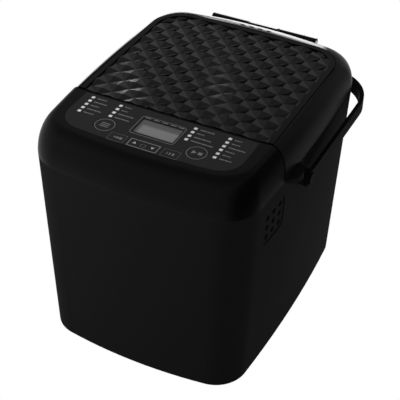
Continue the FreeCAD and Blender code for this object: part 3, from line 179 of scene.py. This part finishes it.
housing_finish = moulded("housing_satin", tone=0.0076, rough=0.6, specular=0.003, soften=0.0004)
# Painted shade: a darker band of the wall under the lid's edge, behind each arm of the handle.
painted_shade_rise = 0.178
painted_shade_tone = 0.0015
tree = housing_finish.node_tree
point = axes(tree, "Object")
above_arm = reckon(tree, "MULTIPLY_ADD", point["Y"], -painted_shade_rise, point["Z"])
painted_shade = reckon(tree, "MULTIPLY", ramp(tree, above_arm, start=0.2052, end=0.2068),
                ramp(tree, point["Y"], start=-0.03, end=-0.026))
recolour(housing_finish, (painted_shade_tone, painted_shade_tone, painted_shade_tone), share=painted_shade)
dress(housing_finish, "body_shell")

# Base plate and deck: plain plates moulded in a paler black. The one closes the tub from below and
# the other is the ring between the oven and the housing. Both are held by screws.
dress(moulded("base_plain", tone=0.03, rough=0.6, specular=0.3, size=500.0), "base_plate", "top_deck")

# Feet and cord inlet: soft black rubber with a dull skin. The feet hold by pegs pressed up through
# the base plate, and the inlet bushing sits in a hole of the rear wall.
dress(moulded("foot_rubber", tone=0.02, rough=0.85, specular=0.2, size=1500.0, relief=0.00006),
      "rubber_feet", "cord_bushing")

# Screws and hinge pin: drawn steel wire under a bright plating, headed and threaded cold. The
# plating is thin and keeps the fine lines of the tools.
brush, given, made = texture_group("brush_lines", Fineness="Vector", Base_tone="Color",
                                   Base_roughness="Float")
fine_place = brush.nodes.new("ShaderNodeMapping")
brush.links.new(brush.nodes.new("ShaderNodeTexCoord").outputs["Object"], fine_place.inputs["Vector"])
brush.links.new(given["Fineness"], fine_place.inputs["Scale"])
lines = noise(brush, fine_place.outputs["Vector"], scale=60.0, detail=4.0)
lightness = ramp(brush, lines, start=0.3, end=0.7, low=0.8, high=1.0, curve="LINEAR")
tint = brush.nodes.new("ShaderNodeVectorMath")
tint.operation = "SCALE"
brush.links.new(given["Base tone"], tint.inputs[0])
brush.links.new(lightness, tint.inputs["Scale"])
dullness = ramp(brush, lines, start=0.0, end=1.0, low=0.8, high=1.2, curve="LINEAR")
brush.links.new(tint.outputs["Vector"], made["Color"])
brush.links.new(reckon(brush, "MULTIPLY", dullness, given["Base roughness"]), made["Roughness"])
brush.links.new(lines, made["Height"])


def rolled(name, tone, rough, fineness):
    """A drawn, rolled or cast metal, with marks that are finest along the axis of the largest number."""
    finish = textured(name, brush, relief=0.00002, Fineness=fineness, Base_tone=(*tone, 1),
                      Base_roughness=rough)
    finish.node_tree.nodes["Principled BSDF"].inputs["Metallic"].default_value = 1.0
    return finish


dress(rolled("screw_plate", tone=(0.5, 0.5, 0.52), rough=0.35, fineness=(4, 4, 30)),
      "base_screws", "deck_screws", "chassis_screws", "board_screws", "lid_screws", "hinge_pin")

# Chassis and clips: plated steel sheet, cut and folded. The chassis carries the motor, the bearing
# and the power board, and the clips hold the pan and the heater in the oven.
dress(rolled("chassis_sheet", tone=(0.55, 0.56, 0.57), rough=0.4, fineness=(1, 40, 40)),
      "chassis_plate", "pan_clips", "heater_clips")

# Shafts and probe: steel bar and tube, turned bright, with the tool's rings round them. The shafts
# run in bearings, and the probe goes through the front wall of the oven.
dress(rolled("turned_steel", tone=(0.6, 0.6, 0.61), rough=0.25, fineness=(1, 1, 60)),
      "drive_shaft", "motor_shaft", "pan_shaft", "temperature_probe")

# Bearing, dog, coupling, foot ring and bush: small castings in a dull light alloy, machined where
# they run. The bush in the floor of the pan is sintered bronze, pressed in.
dress(rolled("cast_alloy", tone=(0.62, 0.62, 0.63), rough=0.5, fineness=(3, 3, 3)),
      "drive_bearing", "drive_dog", "pan_coupling", "pan_collar")
dress(rolled("sintered_bush", tone=(0.55, 0.4, 0.2), rough=0.45, fineness=(8, 8, 8)), "pan_bush")

# Motor and switches: a stack of dark steel laminations between end bells, standing on the chassis.
# Its capacitor has a moulded case, and so have the switches below the keys.
dress(rolled("motor_laminations", tone=(0.22, 0.22, 0.23), rough=0.5, fineness=(1, 1, 90)), "motor_frame")
dress(moulded("capacitor_case", tone=0.05, rough=0.45, specular=0.4), "motor_capacitor", "key_switches")

# Belt drive: two flanged pulleys moulded in pale nylon, fixed on their shafts, and a flat black
# rubber belt that runs over both.
dress(moulded("pulley_nylon", tone=0.62, rough=0.5, specular=0.4, size=600.0, tone_spread=0.06),
      "drive_pulley", "motor_pulley")
dress(moulded("belt_rubber", tone=0.015, rough=0.8, specular=0.2, size=1400.0, relief=0.00008),
      "drive_belt")

# Printed circuit boards: glass-fibre sheet under a green solder mask. The power board stands on the
# chassis, and the control board hangs from posts of the control head.
board_finish = moulded("solder_mask", tone=0.05, rough=0.35, specular=0.5, size=1200.0)
recolour(board_finish, (0.25, 1.0, 0.45), share=1.0, blend="MULTIPLY")
dress(board_finish, "power_board", "control_board")

# Oven: a box drawn from plated steel sheet that hangs by its flange from the deck, and a liner of
# the same sheet under the lid. The heater is a tube round its foot, with a dark oxide skin.
dress(rolled("plated_sheet", tone=(0.6, 0.6, 0.6), rough=0.32, fineness=(30, 30, 2)),
      "oven_chamber", "lid_liner")
dress(rolled("oxide_sheath", tone=(0.2, 0.19, 0.18), rough=0.55, fineness=(10, 10, 10)), "heater_element")


# Control head: the front cap of the housing, moulded in a smoother and darker black than the tub.
# Its level top has less shine than the rounded front edge, which carries the shine. Its right flank
# has its shine turned down too, a painted shade.
def vary_specular(finish, specular):
    """Lets the shine of a finish change with the way that the surface faces."""
    tree = finish.node_tree
    tree.links.new(specular, tree.nodes["Principled BSDF"].inputs["Specular IOR Level"])


head_specular = 0.05
head_finish = moulded("head_black", tone=0.002, rough=0.36, specular=head_specular, size=1300.0,
                      relief=0.00001, soften=0.0004)
tree = head_finish.node_tree
facing = axes(tree, "Normal")
# Painted shade: the shine falls off where the surface faces right.
shaded_flank = ramp(tree, facing["X"], start=0.35, end=0.75, low=head_specular, high=0.006)
level_top = ramp(tree, facing["Z"], start=0.6, end=0.95, low=head_specular, high=0.022)
vary_specular(head_finish, reckon(tree, "MINIMUM", shaded_flank, level_top))
dress(head_finish, "control_head")

# Control film: a matt dark grey polyester sheet, die-cut and glued into the recess of the head. The
# tops of the six keys are of the same stuff and lie level with it.
film_finish = moulded("film_matt", tone=0.0095, rough=0.42, specular=0.045, size=2200.0, relief=0.000012)
dress(film_finish, "control_overlay",
      "menu_key", "start_key", "size_key", "crust_key", "up_key", "down_key")

# Display: grey liquid-crystal glass on the control board, seen through the window of the film. It is
# off, and lighter towards its near right corner, clear of the shadow that the window's edge throws.
display_finish = bpy.data.materials.new("display_grey")
display_finish.use_nodes = True
tree = display_finish.node_tree
surface = tree.nodes["Principled BSDF"]
surface.inputs["Roughness"].default_value = 0.35
surface.inputs["Specular IOR Level"].default_value = 0.3
point = axes(tree, "Object")
lit = reckon(tree, "MULTIPLY", ramp(tree, point["X"], start=-0.0187, end=-0.0152),
             ramp(tree, point["Y"], start=-0.0943, end=-0.0985))
greys = tree.nodes.new("ShaderNodeValToRGB")
for stop, grey in zip(greys.color_ramp.elements, (0.045, 0.138)):
    stop.color = (grey, grey, grey, 1)
tree.links.new(lit, greys.inputs["Fac"])
tree.links.new(greys.outputs["Color"], surface.inputs["Base Color"])
dress(display_finish, "lcd_module")

# Printing on the film: status lamps as white squares, plain bars beside them, and a thin line with
# five short bars round the display. It is screen-printed ink, a few hundredths of a millimetre
# thick. The places of the marks are in millimetres from the middle of the housing.
housing_low, housing_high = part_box("body_shell")
housing_middle = (housing_low.y + housing_high.y) / 2
ink_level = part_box("control_overlay")[1][2]
ink_thickness = 0.00004
ink_lift = 0.000005


def ink(name, tone):
    """A printing ink in one grey."""
    return moulded(name, tone, rough=0.5, specular=0.2, size=3000.0, relief=0.000004, tone_spread=0.1)


white_ink = ink("lamp_white", tone=0.62)
label_ink = ink("label_grey", tone=0.13)
line_ink = ink("outline_grey", tone=0.075)
bright_ink = ink("outline_pale", tone=0.16)
mark_ink = ink("mark_pale", tone=0.35)


def on_film(x, y, turn=0.0):
    """The place of a mark on the film, and its turn there."""
    spot = Matrix.Translation((x / 1000, y / 1000 + housing_middle, ink_level))
    return spot @ Matrix.Rotation(turn, 4, "Z")


def bar(sheet, x, y, width, depth, turn=0.0):
    """One printed bar, from its centre and its two sides."""
    spot = on_film(x, y, turn) @ Matrix.Diagonal((width / 1000, depth / 1000, 1, 1))
    bmesh.ops.create_grid(sheet, x_segments=1, y_segments=1, size=0.5, matrix=spot)


def piece_of(name, shape, finish):
    """Turns a finished shape into a piece of the scene."""
    bmesh.ops.recalc_face_normals(shape, faces=shape.faces[:])
    mesh = bpy.data.meshes.new(name)
    shape.to_mesh(mesh)
    shape.free()
    mesh.materials.append(finish)
    piece = bpy.data.objects.new(name, mesh)
    bpy.context.collection.objects.link(piece)
    return piece


def printed(name, sheet, finish, body):
    """Gives a flat print its thickness, stands it on the film and lets it ride on a body."""
    bmesh.ops.solidify(sheet, geom=sheet.faces[:], thickness=ink_thickness)
    low = min(vert.co.z for vert in sheet.verts)
    bmesh.ops.translate(sheet, verts=sheet.verts[:], vec=(0, 0, ink_level + ink_lift - low))
    piece = piece_of(name, sheet, finish)
    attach(piece, body)


lamp_side = 3.3
label_start = 4.6
label_height = 1.25
word_shares = (0.46, 0.3, 0.24)
word_gap = 0.5
lamp_columns = [(-81.7, -72.0, -97.7, (11, 14.5, 9.5, 15.5, 11.5)),
                (-50.9, -72.3, -92.0, (7.5, 7, 17, 16)),
                (29.85, -73.0, -92.4, (15.5, 8, 18, 23)),
                (65.35, -73.0, -105.5, (8, 9, 17, 9.5, 9, 12.5))]
lamps = bmesh.new()
labels = bmesh.new()
for x, first, last, label_lengths in lamp_columns:
    for row, length in enumerate(label_lengths):
        y = first + (last - first) * row / (len(label_lengths) - 1)
        bar(lamps, x, y, lamp_side, lamp_side)
        start = x + label_start
        for share in word_shares:
            word = length * share - word_gap
            bar(labels, start + word / 2, y, word, label_height)
            start += length * share
printed("status_lamps", lamps, white_ink, "housing")
printed("status_labels", labels, label_ink, "housing")

window_line = 0.45
window_width = 46.68
window_depth = 30.25
window_corner = 2.2
window_side = 23.14
window_front = -106.55
window_middle = -91.62
window_rear = -76.7
corner_inset = 1.05
corner_length = 3.0
window = bmesh.new()
for y in (window_front, window_rear):
    bar(window, 0, y, window_width - 2 * window_corner, window_line)
for side in (-1, 1):
    bar(window, side * window_side, window_middle, window_line, window_depth - 2 * window_corner)
    for y, inward in ((window_front, 1), (window_rear, -1)):
        bar(window, side * (window_side - corner_inset), y + inward * corner_inset,
            corner_length, window_line, turn=side * inward * math.pi / 4)
for x in (-17.5, -8.5, 0.5, 9.5, 18.0):
    bar(window, x, y=-78.6, width=5.6, depth=1.0)
printed("window_outline", window, bright_ink, "housing")


# Key marks: a ring and a sign on each round key, an outline and a sign on each square one, and half
# a clock on each of the two arrow keys. The ink is the film's, and it moves with its key.
def ring(sheet, x, y, radius, line):
    """A printed ring: a filled disc with its middle taken out."""
    bmesh.ops.create_circle(sheet, cap_ends=True, segments=64, radius=radius / 1000, matrix=on_film(x, y))
    disc = sheet.faces[:]
    bmesh.ops.inset_region(sheet, faces=disc, thickness=line / 1000, use_boundary=True,
                           use_even_offset=True)
    bmesh.ops.delete(sheet, geom=disc, context="FACES")


def arrow_head(sheet, x, y, radius, turn):
    """A printed triangle that points away from the user, or where a turn takes it."""
    bmesh.ops.create_circle(sheet, cap_ends=True, segments=3, radius=radius / 1000,
                            matrix=on_film(x, y, turn))


def outline(sheet, x_low, x_high, y_low, y_high, line, open_side=0):
    """A printed rectangle of thin bars, open on the side where a neighbour closes it."""
    bar(sheet, (x_low + x_high) / 2, y_low + line / 2, x_high - x_low, line)
    bar(sheet, (x_low + x_high) / 2, y_high - line / 2, x_high - x_low, line)
    for side, x in ((-1, x_low + line / 2), (1, x_high - line / 2)):
        if side != open_side:
            bar(sheet, x, (y_low + y_high) / 2, line, y_high - y_low - 2 * line)


def cut_away(shape, spot, out):
    """Takes off all that lies beyond a plane."""
    bmesh.ops.bisect_plane(shape, geom=shape.verts[:] + shape.edges[:] + shape.faces[:], dist=0.000001,
                           plane_co=spot, plane_no=out, clear_outer=True)


round_key_x = 48.05
round_key_y = -107.1
menu_pitch = 2.6
for side, key in ((-1, "menu_key"), (1, "start_key")):
    round_edge = bmesh.new()
    ring(round_edge, side * round_key_x, round_key_y, radius=9.8, line=0.5)
    printed(key + "_ring", round_edge, bright_ink, key)
menu_lines = bmesh.new()
for step in (-1, 0, 1):
    bar(menu_lines, -round_key_x, round_key_y + step * menu_pitch, width=9.0, depth=1.0)
printed("menu_key_sign", menu_lines, label_ink, "menu_key")
start_sign = bmesh.new()
arrow_head(start_sign, x=45.05, y=round_key_y, radius=3.1, turn=-math.pi / 2)
bar(start_sign, x=51.6, y=round_key_y, width=4.0, depth=4.0)
printed("start_key_sign", start_sign, label_ink, "start_key")

key_front = -125.6
key_rear = -113.6
key_middle = -119.6
square_key_x = 27.8
square_key_half = 8.5
for side, key in ((-1, "size_key"), (1, "crust_key")):
    edge = bmesh.new()
    outline(edge, side * square_key_x - square_key_half, side * square_key_x + square_key_half,
            key_front, key_rear, line=0.4)
    printed(key + "_outline", edge, line_ink, key)
loaf_sizes = bmesh.new()
for x, loaf in ((-30.2, 1.8), (-27.5, 2.4), (-24.0, 3.2)):
    bar(loaf_sizes, x, key_middle, width=loaf, depth=loaf)
printed("size_key_sign", loaf_sizes, label_ink, "size_key")
crust_strokes = bmesh.new()
for x, width in ((24.4, 0.7), (27.2, 1.3), (30.6, 2.0)):
    bar(crust_strokes, x, key_middle, width, depth=3.4)
printed("crust_key_sign", crust_strokes, label_ink, "crust_key")

arrow_key_inner = 0.2
arrow_key_outer = 15.3
clock_gap = 0.0003
for side, key, turn in ((-1, "up_key", 0.0), (1, "down_key", math.pi)):
    edge = bmesh.new()
    left, right = sorted((side * arrow_key_inner, side * arrow_key_outer))
    outline(edge, left, right, key_front, key_rear, line=0.8, open_side=-side)
    printed(key + "_outline", edge, bright_ink, key)
    arrow = bmesh.new()
    arrow_head(arrow, x=side * 9.3, y=-119.5, radius=2.2, turn=turn)
    printed(key + "_arrow", arrow, mark_ink, key)
    clock = bmesh.new()
    ring(clock, x=0, y=-120.2, radius=2.6, line=0.35)
    cut_away(clock, spot=(side * clock_gap, 0, 0), out=(-side, 0, 0))
    printed(key + "_clock", clock, label_ink, key)

# Lid: the rear cap of the housing, a hollow frame moulded in satin black that turns on a pin at the
# rear. Edges seen at a slant carry a painted sheen, a white mirror mixed in only where they face left
# or to the rear, and the right flank has a painted shade, its shine turned down. The brackets on
# the deck that hold the pin are of the same plastic.
lid_specular = 0.018
lid_finish = moulded("lid_satin", tone=0.0048, rough=0.3, specular=lid_specular, size=1100.0,
                     relief=0.000012, soften=0.0004)
tree = lid_finish.node_tree
slant = tree.nodes.new("ShaderNodeLayerWeight")
slant.inputs["Blend"].default_value = 0.5
facing = axes(tree, "Normal")
# Painted sheen: a white mirror on edges seen at a slant, only where they face left or to the rear.
painted_sheen = reckon(tree, "MULTIPLY", ramp(tree, slant.outputs["Facing"], start=0.5, end=0.75),
               ramp(tree, facing["X"], start=0.1, end=0.01))
mirror = tree.nodes.new("ShaderNodeBsdfGlossy")
mirror.inputs["Color"].default_value = (0.97, 0.97, 0.97, 1)
mirror.inputs["Roughness"].default_value = 0.15


def blend_shaders(tree, share, first, second):
    """Lets a second shader take over from a first one, by a share."""
    blend = tree.nodes.new("ShaderNodeMixShader")
    tree.links.new(share, blend.inputs["Fac"])
    tree.links.new(first, blend.inputs[1])
    tree.links.new(second, blend.inputs[2])
    tree.links.new(blend.outputs["Shader"], tree.nodes["Material Output"].inputs["Surface"])


blend_shaders(tree, painted_sheen, tree.nodes["Principled BSDF"].outputs["BSDF"], mirror.outputs["BSDF"])
# Painted shade: the right flank has its shine turned down.
vary_specular(lid_finish, ramp(tree, facing["X"], start=0.7, end=0.98, low=lid_specular, high=0.007))
dress(lid_finish, "lid_frame", "hinge_brackets")

# Diamond panel: a polished black moulding in the seat of the lid, a field of square pyramids inside
# a flat rim that is level with their tips. The steel tool is ground facet by facet, so the edges
# are crisp and the faces mirror the studio.
panel_specular = 0.07
panel_finish = moulded("panel_polish", tone=0.0025, rough=0.1, specular=panel_specular, size=400.0,
                       relief=0.000004)
tree = panel_finish.node_tree
vary_specular(panel_finish, ramp(tree, axes(tree, "Normal")["Z"], start=0.99, end=0.998,
                                 low=panel_specular, high=0.025, curve="LINEAR"))
panel_low, panel_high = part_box("lid_panel")
panel_setback = 0.0015
panel_front = panel_low.y + panel_setback
rim_width = 0.0055
rim_radius = 0.034
corner_steps = 12
diamond = 0.012
pyramid_height = 0.0018
diamond_datum = 0.0552 + housing_middle
field_half = panel_high.x - rim_width
field_rear = panel_high.y - rim_width
field_radius = rim_radius - rim_width
panel = bmesh.new()
reach = math.ceil((panel_high.y - panel_low.y) / diamond)
for across in range(-reach, reach + 1):
    for along in range(-2 * reach + across % 2, 2 * reach, 2):
        x = across * diamond
        y = diamond_datum + along * diamond
        if abs(x) < field_half + diamond and panel_low.y - diamond < y < field_rear + diamond:
            bmesh.ops.create_cone(panel, segments=4, radius1=diamond, radius2=0, depth=pyramid_height,
                                  matrix=Matrix.Translation((x, y, panel_high.z - pyramid_height / 2)))
bmesh.ops.remove_doubles(panel, verts=panel.verts[:], dist=0.0001)
cut_away(panel, spot=(0, panel_front, 0), out=(0, -1, 0))
for side in (-1, 1):
    hub = Vector((side * (field_half - field_radius), field_rear - field_radius, 0))
    for step in range(corner_steps + 1):
        turn = step / corner_steps * math.pi / 2
        out = Vector((side * math.cos(turn), math.sin(turn), 0))
        cut_away(panel, hub + out * field_radius, out)
skirt = bmesh.ops.extrude_edge_only(panel, edges=[edge for edge in panel.edges if edge.is_boundary])
for vert in skirt["geom"]:
    if isinstance(vert, bmesh.types.BMVert):
        vert.co.z = panel_low.z
bmesh.ops.holes_fill(panel, edges=[edge for edge in panel.edges if edge.is_boundary])
rim = bmesh.new()
rim_depth = panel_high.y - panel_front + 2 * rim_width
sheet_place = Matrix.Translation((0, panel_high.y - rim_depth / 2, panel_high.z))
bmesh.ops.create_grid(rim, x_segments=1, y_segments=1, size=0.5,
                      matrix=sheet_place @ Matrix.Diagonal((2 * panel_high.x, rim_depth, 1, 1)))
bmesh.ops.bevel(rim, geom=[vert for vert in rim.verts if vert.co.y > 0], offset=rim_radius,
                offset_type="OFFSET", affect="VERTICES", segments=corner_steps, profile=0.5, material=-1)
rim_middle = rim.faces[:]
bmesh.ops.inset_region(rim, faces=rim_middle, thickness=rim_width, use_boundary=True,
                       use_even_offset=True)
bmesh.ops.delete(rim, geom=rim_middle, context="FACES")
cut_away(rim, spot=(0, panel_front, 0), out=(0, -1, 0))
bmesh.ops.solidify(rim, geom=rim.faces[:], thickness=panel_high.z - panel_low.z)
rim_mesh = bpy.data.meshes.new("panel_rim")
rim.to_mesh(rim_mesh)
rim.free()
panel.from_mesh(rim_mesh)
bpy.data.meshes.remove(rim_mesh)
panel_piece = piece_of("diamond_panel", panel, panel_finish)
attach(panel_piece, "lid")
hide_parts("lid_panel")

# Carry handle: a U-shaped strap moulded in satin black, thicker at the grip. It turns on two capped
# pins of the same plastic, which are pressed into the bosses of the housing.
dress(moulded("handle_satin", tone=0.0045, rough=0.4, specular=0.0015, soften=0.0008), "carry_handle")
dress(moulded("pin_satin", tone=0.004, rough=0.4, specular=0.002, soften=0.0006), "handle_pivot_pins")

# Bread pan: a box drawn from aluminium sheet with a dark non-stick coat inside and out, which the
# ears and the kneading paddle have too. Its bail is bright wire that swings in the ears.
dress(moulded("pan_coat", tone=0.035, rough=0.42, specular=0.5, size=1800.0, tone_spread=0.6),
      "bread_pan", "pan_ears", "kneading_paddle")
dress(rolled("bail_wire", tone=(0.62, 0.62, 0.63), rough=0.22, fineness=(2, 2, 2)), "pan_handle")


# Studio floor: a round sheet of matt white board under the machine. It is plain white to the camera
# and in mirrors, and otherwise throws back the light that falls on it.
def seen_or_mirrored(tree):
    """One for a ray from the camera or off a mirror, and nought for any other."""
    ray = tree.nodes.new("ShaderNodeLightPath").outputs
    mirrored = reckon(tree, "MAXIMUM", ray["Is Glossy Ray"], ray["Is Transmission Ray"])
    return reckon(tree, "MAXIMUM", ray["Is Camera Ray"], mirrored)


floor_finish = bpy.data.materials.new("studio_white")
floor_finish.use_nodes = True
tree = floor_finish.node_tree
matt = tree.nodes["Principled BSDF"]
matt.inputs["Base Color"].default_value = (0.8, 0.8, 0.8, 1)
matt.inputs["Roughness"].default_value = 0.9
matt.inputs["Specular IOR Level"].default_value = 0.0
glow = tree.nodes.new("ShaderNodeEmission")
blend_shaders(tree, seen_or_mirrored(tree), matt.outputs["BSDF"], glow.outputs["Emission"])
floor_shape = bmesh.new()
bmesh.ops.create_circle(floor_shape, cap_ends=True, segments=96, radius=0.75)
floor = piece_of("studio_floor", floor_shape, floor_finish)

# Surround: a white room, plain to the camera, whose light falls off towards the ceiling. Mirrors show
# three dark cards in it: one at the right keeps the flanks black, and two small ones at the rear darken
# facets of the panel. A card has a direction, the cosines of its edge and core, and a least tone.
world = bpy.data.worlds.new("studio")
bpy.context.scene.world = world
world.use_nodes = True
tree = world.node_tree
room = tree.nodes["Background"]
room.inputs["Color"].default_value = (1, 1, 1, 1)
room_light = ramp(tree, axes(tree, "Generated")["Z"], start=0.05, end=0.75, low=0.9, high=0.25,
                  curve="LINEAR")
direction = tree.nodes.new("ShaderNodeTexCoord").outputs["Generated"]
cards = 1.0
for toward, edge, core, least in (((0.989, 0.104, -0.104), 0.55, 0.93, 0.0),
                                  ((-0.4583, 0.8804, 0.1219), 0.9914, 0.9954, 0.0),
                                  ((-0.0667, 0.9518, 0.3), 0.9744, 0.9976, 0.68)):
    nearness = tree.nodes.new("ShaderNodeVectorMath")
    nearness.operation = "DOT_PRODUCT"
    nearness.inputs[1].default_value = toward
    tree.links.new(direction, nearness.inputs[0])
    card = ramp(tree, nearness.outputs["Value"], start=core, end=edge, low=least)
    cards = reckon(tree, "MULTIPLY", card, cards)
to_camera = tree.nodes.new("ShaderNodeLightPath").outputs["Is Camera Ray"]
level = tree.nodes.new("ShaderNodeMix")
level.data_type = "FLOAT"
tree.links.new(seen_or_mirrored(tree), level.inputs["Factor"])
tree.links.new(room_light, level.inputs["A"])
tree.links.new(reckon(tree, "MAXIMUM", to_camera, cards), level.inputs["B"])
tree.links.new(level.outputs["Result"], room.inputs["Strength"])


# Lamps: a soft box at the front left for the film and the front edge, and a large one behind for the
# rear of the lid. Mirrors don't show these two. Two small far lamps put the glints on the panel.
def softbox(name, place, aim, width, height, power, mirrored=False):
    """A flat lamp at a place, turned to its aim, that mirrors show only where asked."""
    lamp = bpy.data.lights.new(name, "AREA")
    lamp.shape = "RECTANGLE"
    lamp.size = width
    lamp.size_y = height
    lamp.energy = power
    holder = bpy.data.objects.new(name, lamp)
    bpy.context.collection.objects.link(holder)
    holder.location = place
    holder.visible_glossy = mirrored
    holder.rotation_euler = (Vector(aim) - Vector(place)).to_track_quat("-Z", "Y").to_euler()


softbox("key_softbox", place=(-0.47, -0.47, 0.47), aim=(-0.1, -0.14, 0.2), width=0.26, height=0.26,
        power=3.7)
softbox("rear_softbox", place=(-0.6, 2.2, 1.3), aim=(0, 0, 0.2), width=1.6, height=0.8, power=18)
softbox("glint_lamp", place=(-1.67, 2.45, 0.73), aim=(-0.07, -0.06, 0.257), width=0.07, height=0.032,
        power=0.112, mirrored=True)
softbox("strip_lamp", place=(-1.39, 2.62, 0.76), aim=(0.02, 0.02, 0.257), width=0.07, height=0.05,
        power=0.034, mirrored=True)

# Camera: the place and angle of the photo, above the front right of the machine, on a long lens for
# a full frame of 36 mm. The angles are its tilt, its roll and its turn in degrees.
view = bpy.data.cameras.new("photo_view")
view.sensor_width = 36.0
view.lens = 99.33
camera = bpy.data.objects.new("photo_view", view)
bpy.context.collection.objects.link(camera)
camera.location = (0.410238, -0.830951 + housing_middle, 0.839036)
camera.rotation_euler = [math.radians(angle) for angle in (51.8578, -0.77295, 26.92177)]
bpy.context.scene.camera = camera
bpy.context.scene.view_settings.view_transform = "Standard"
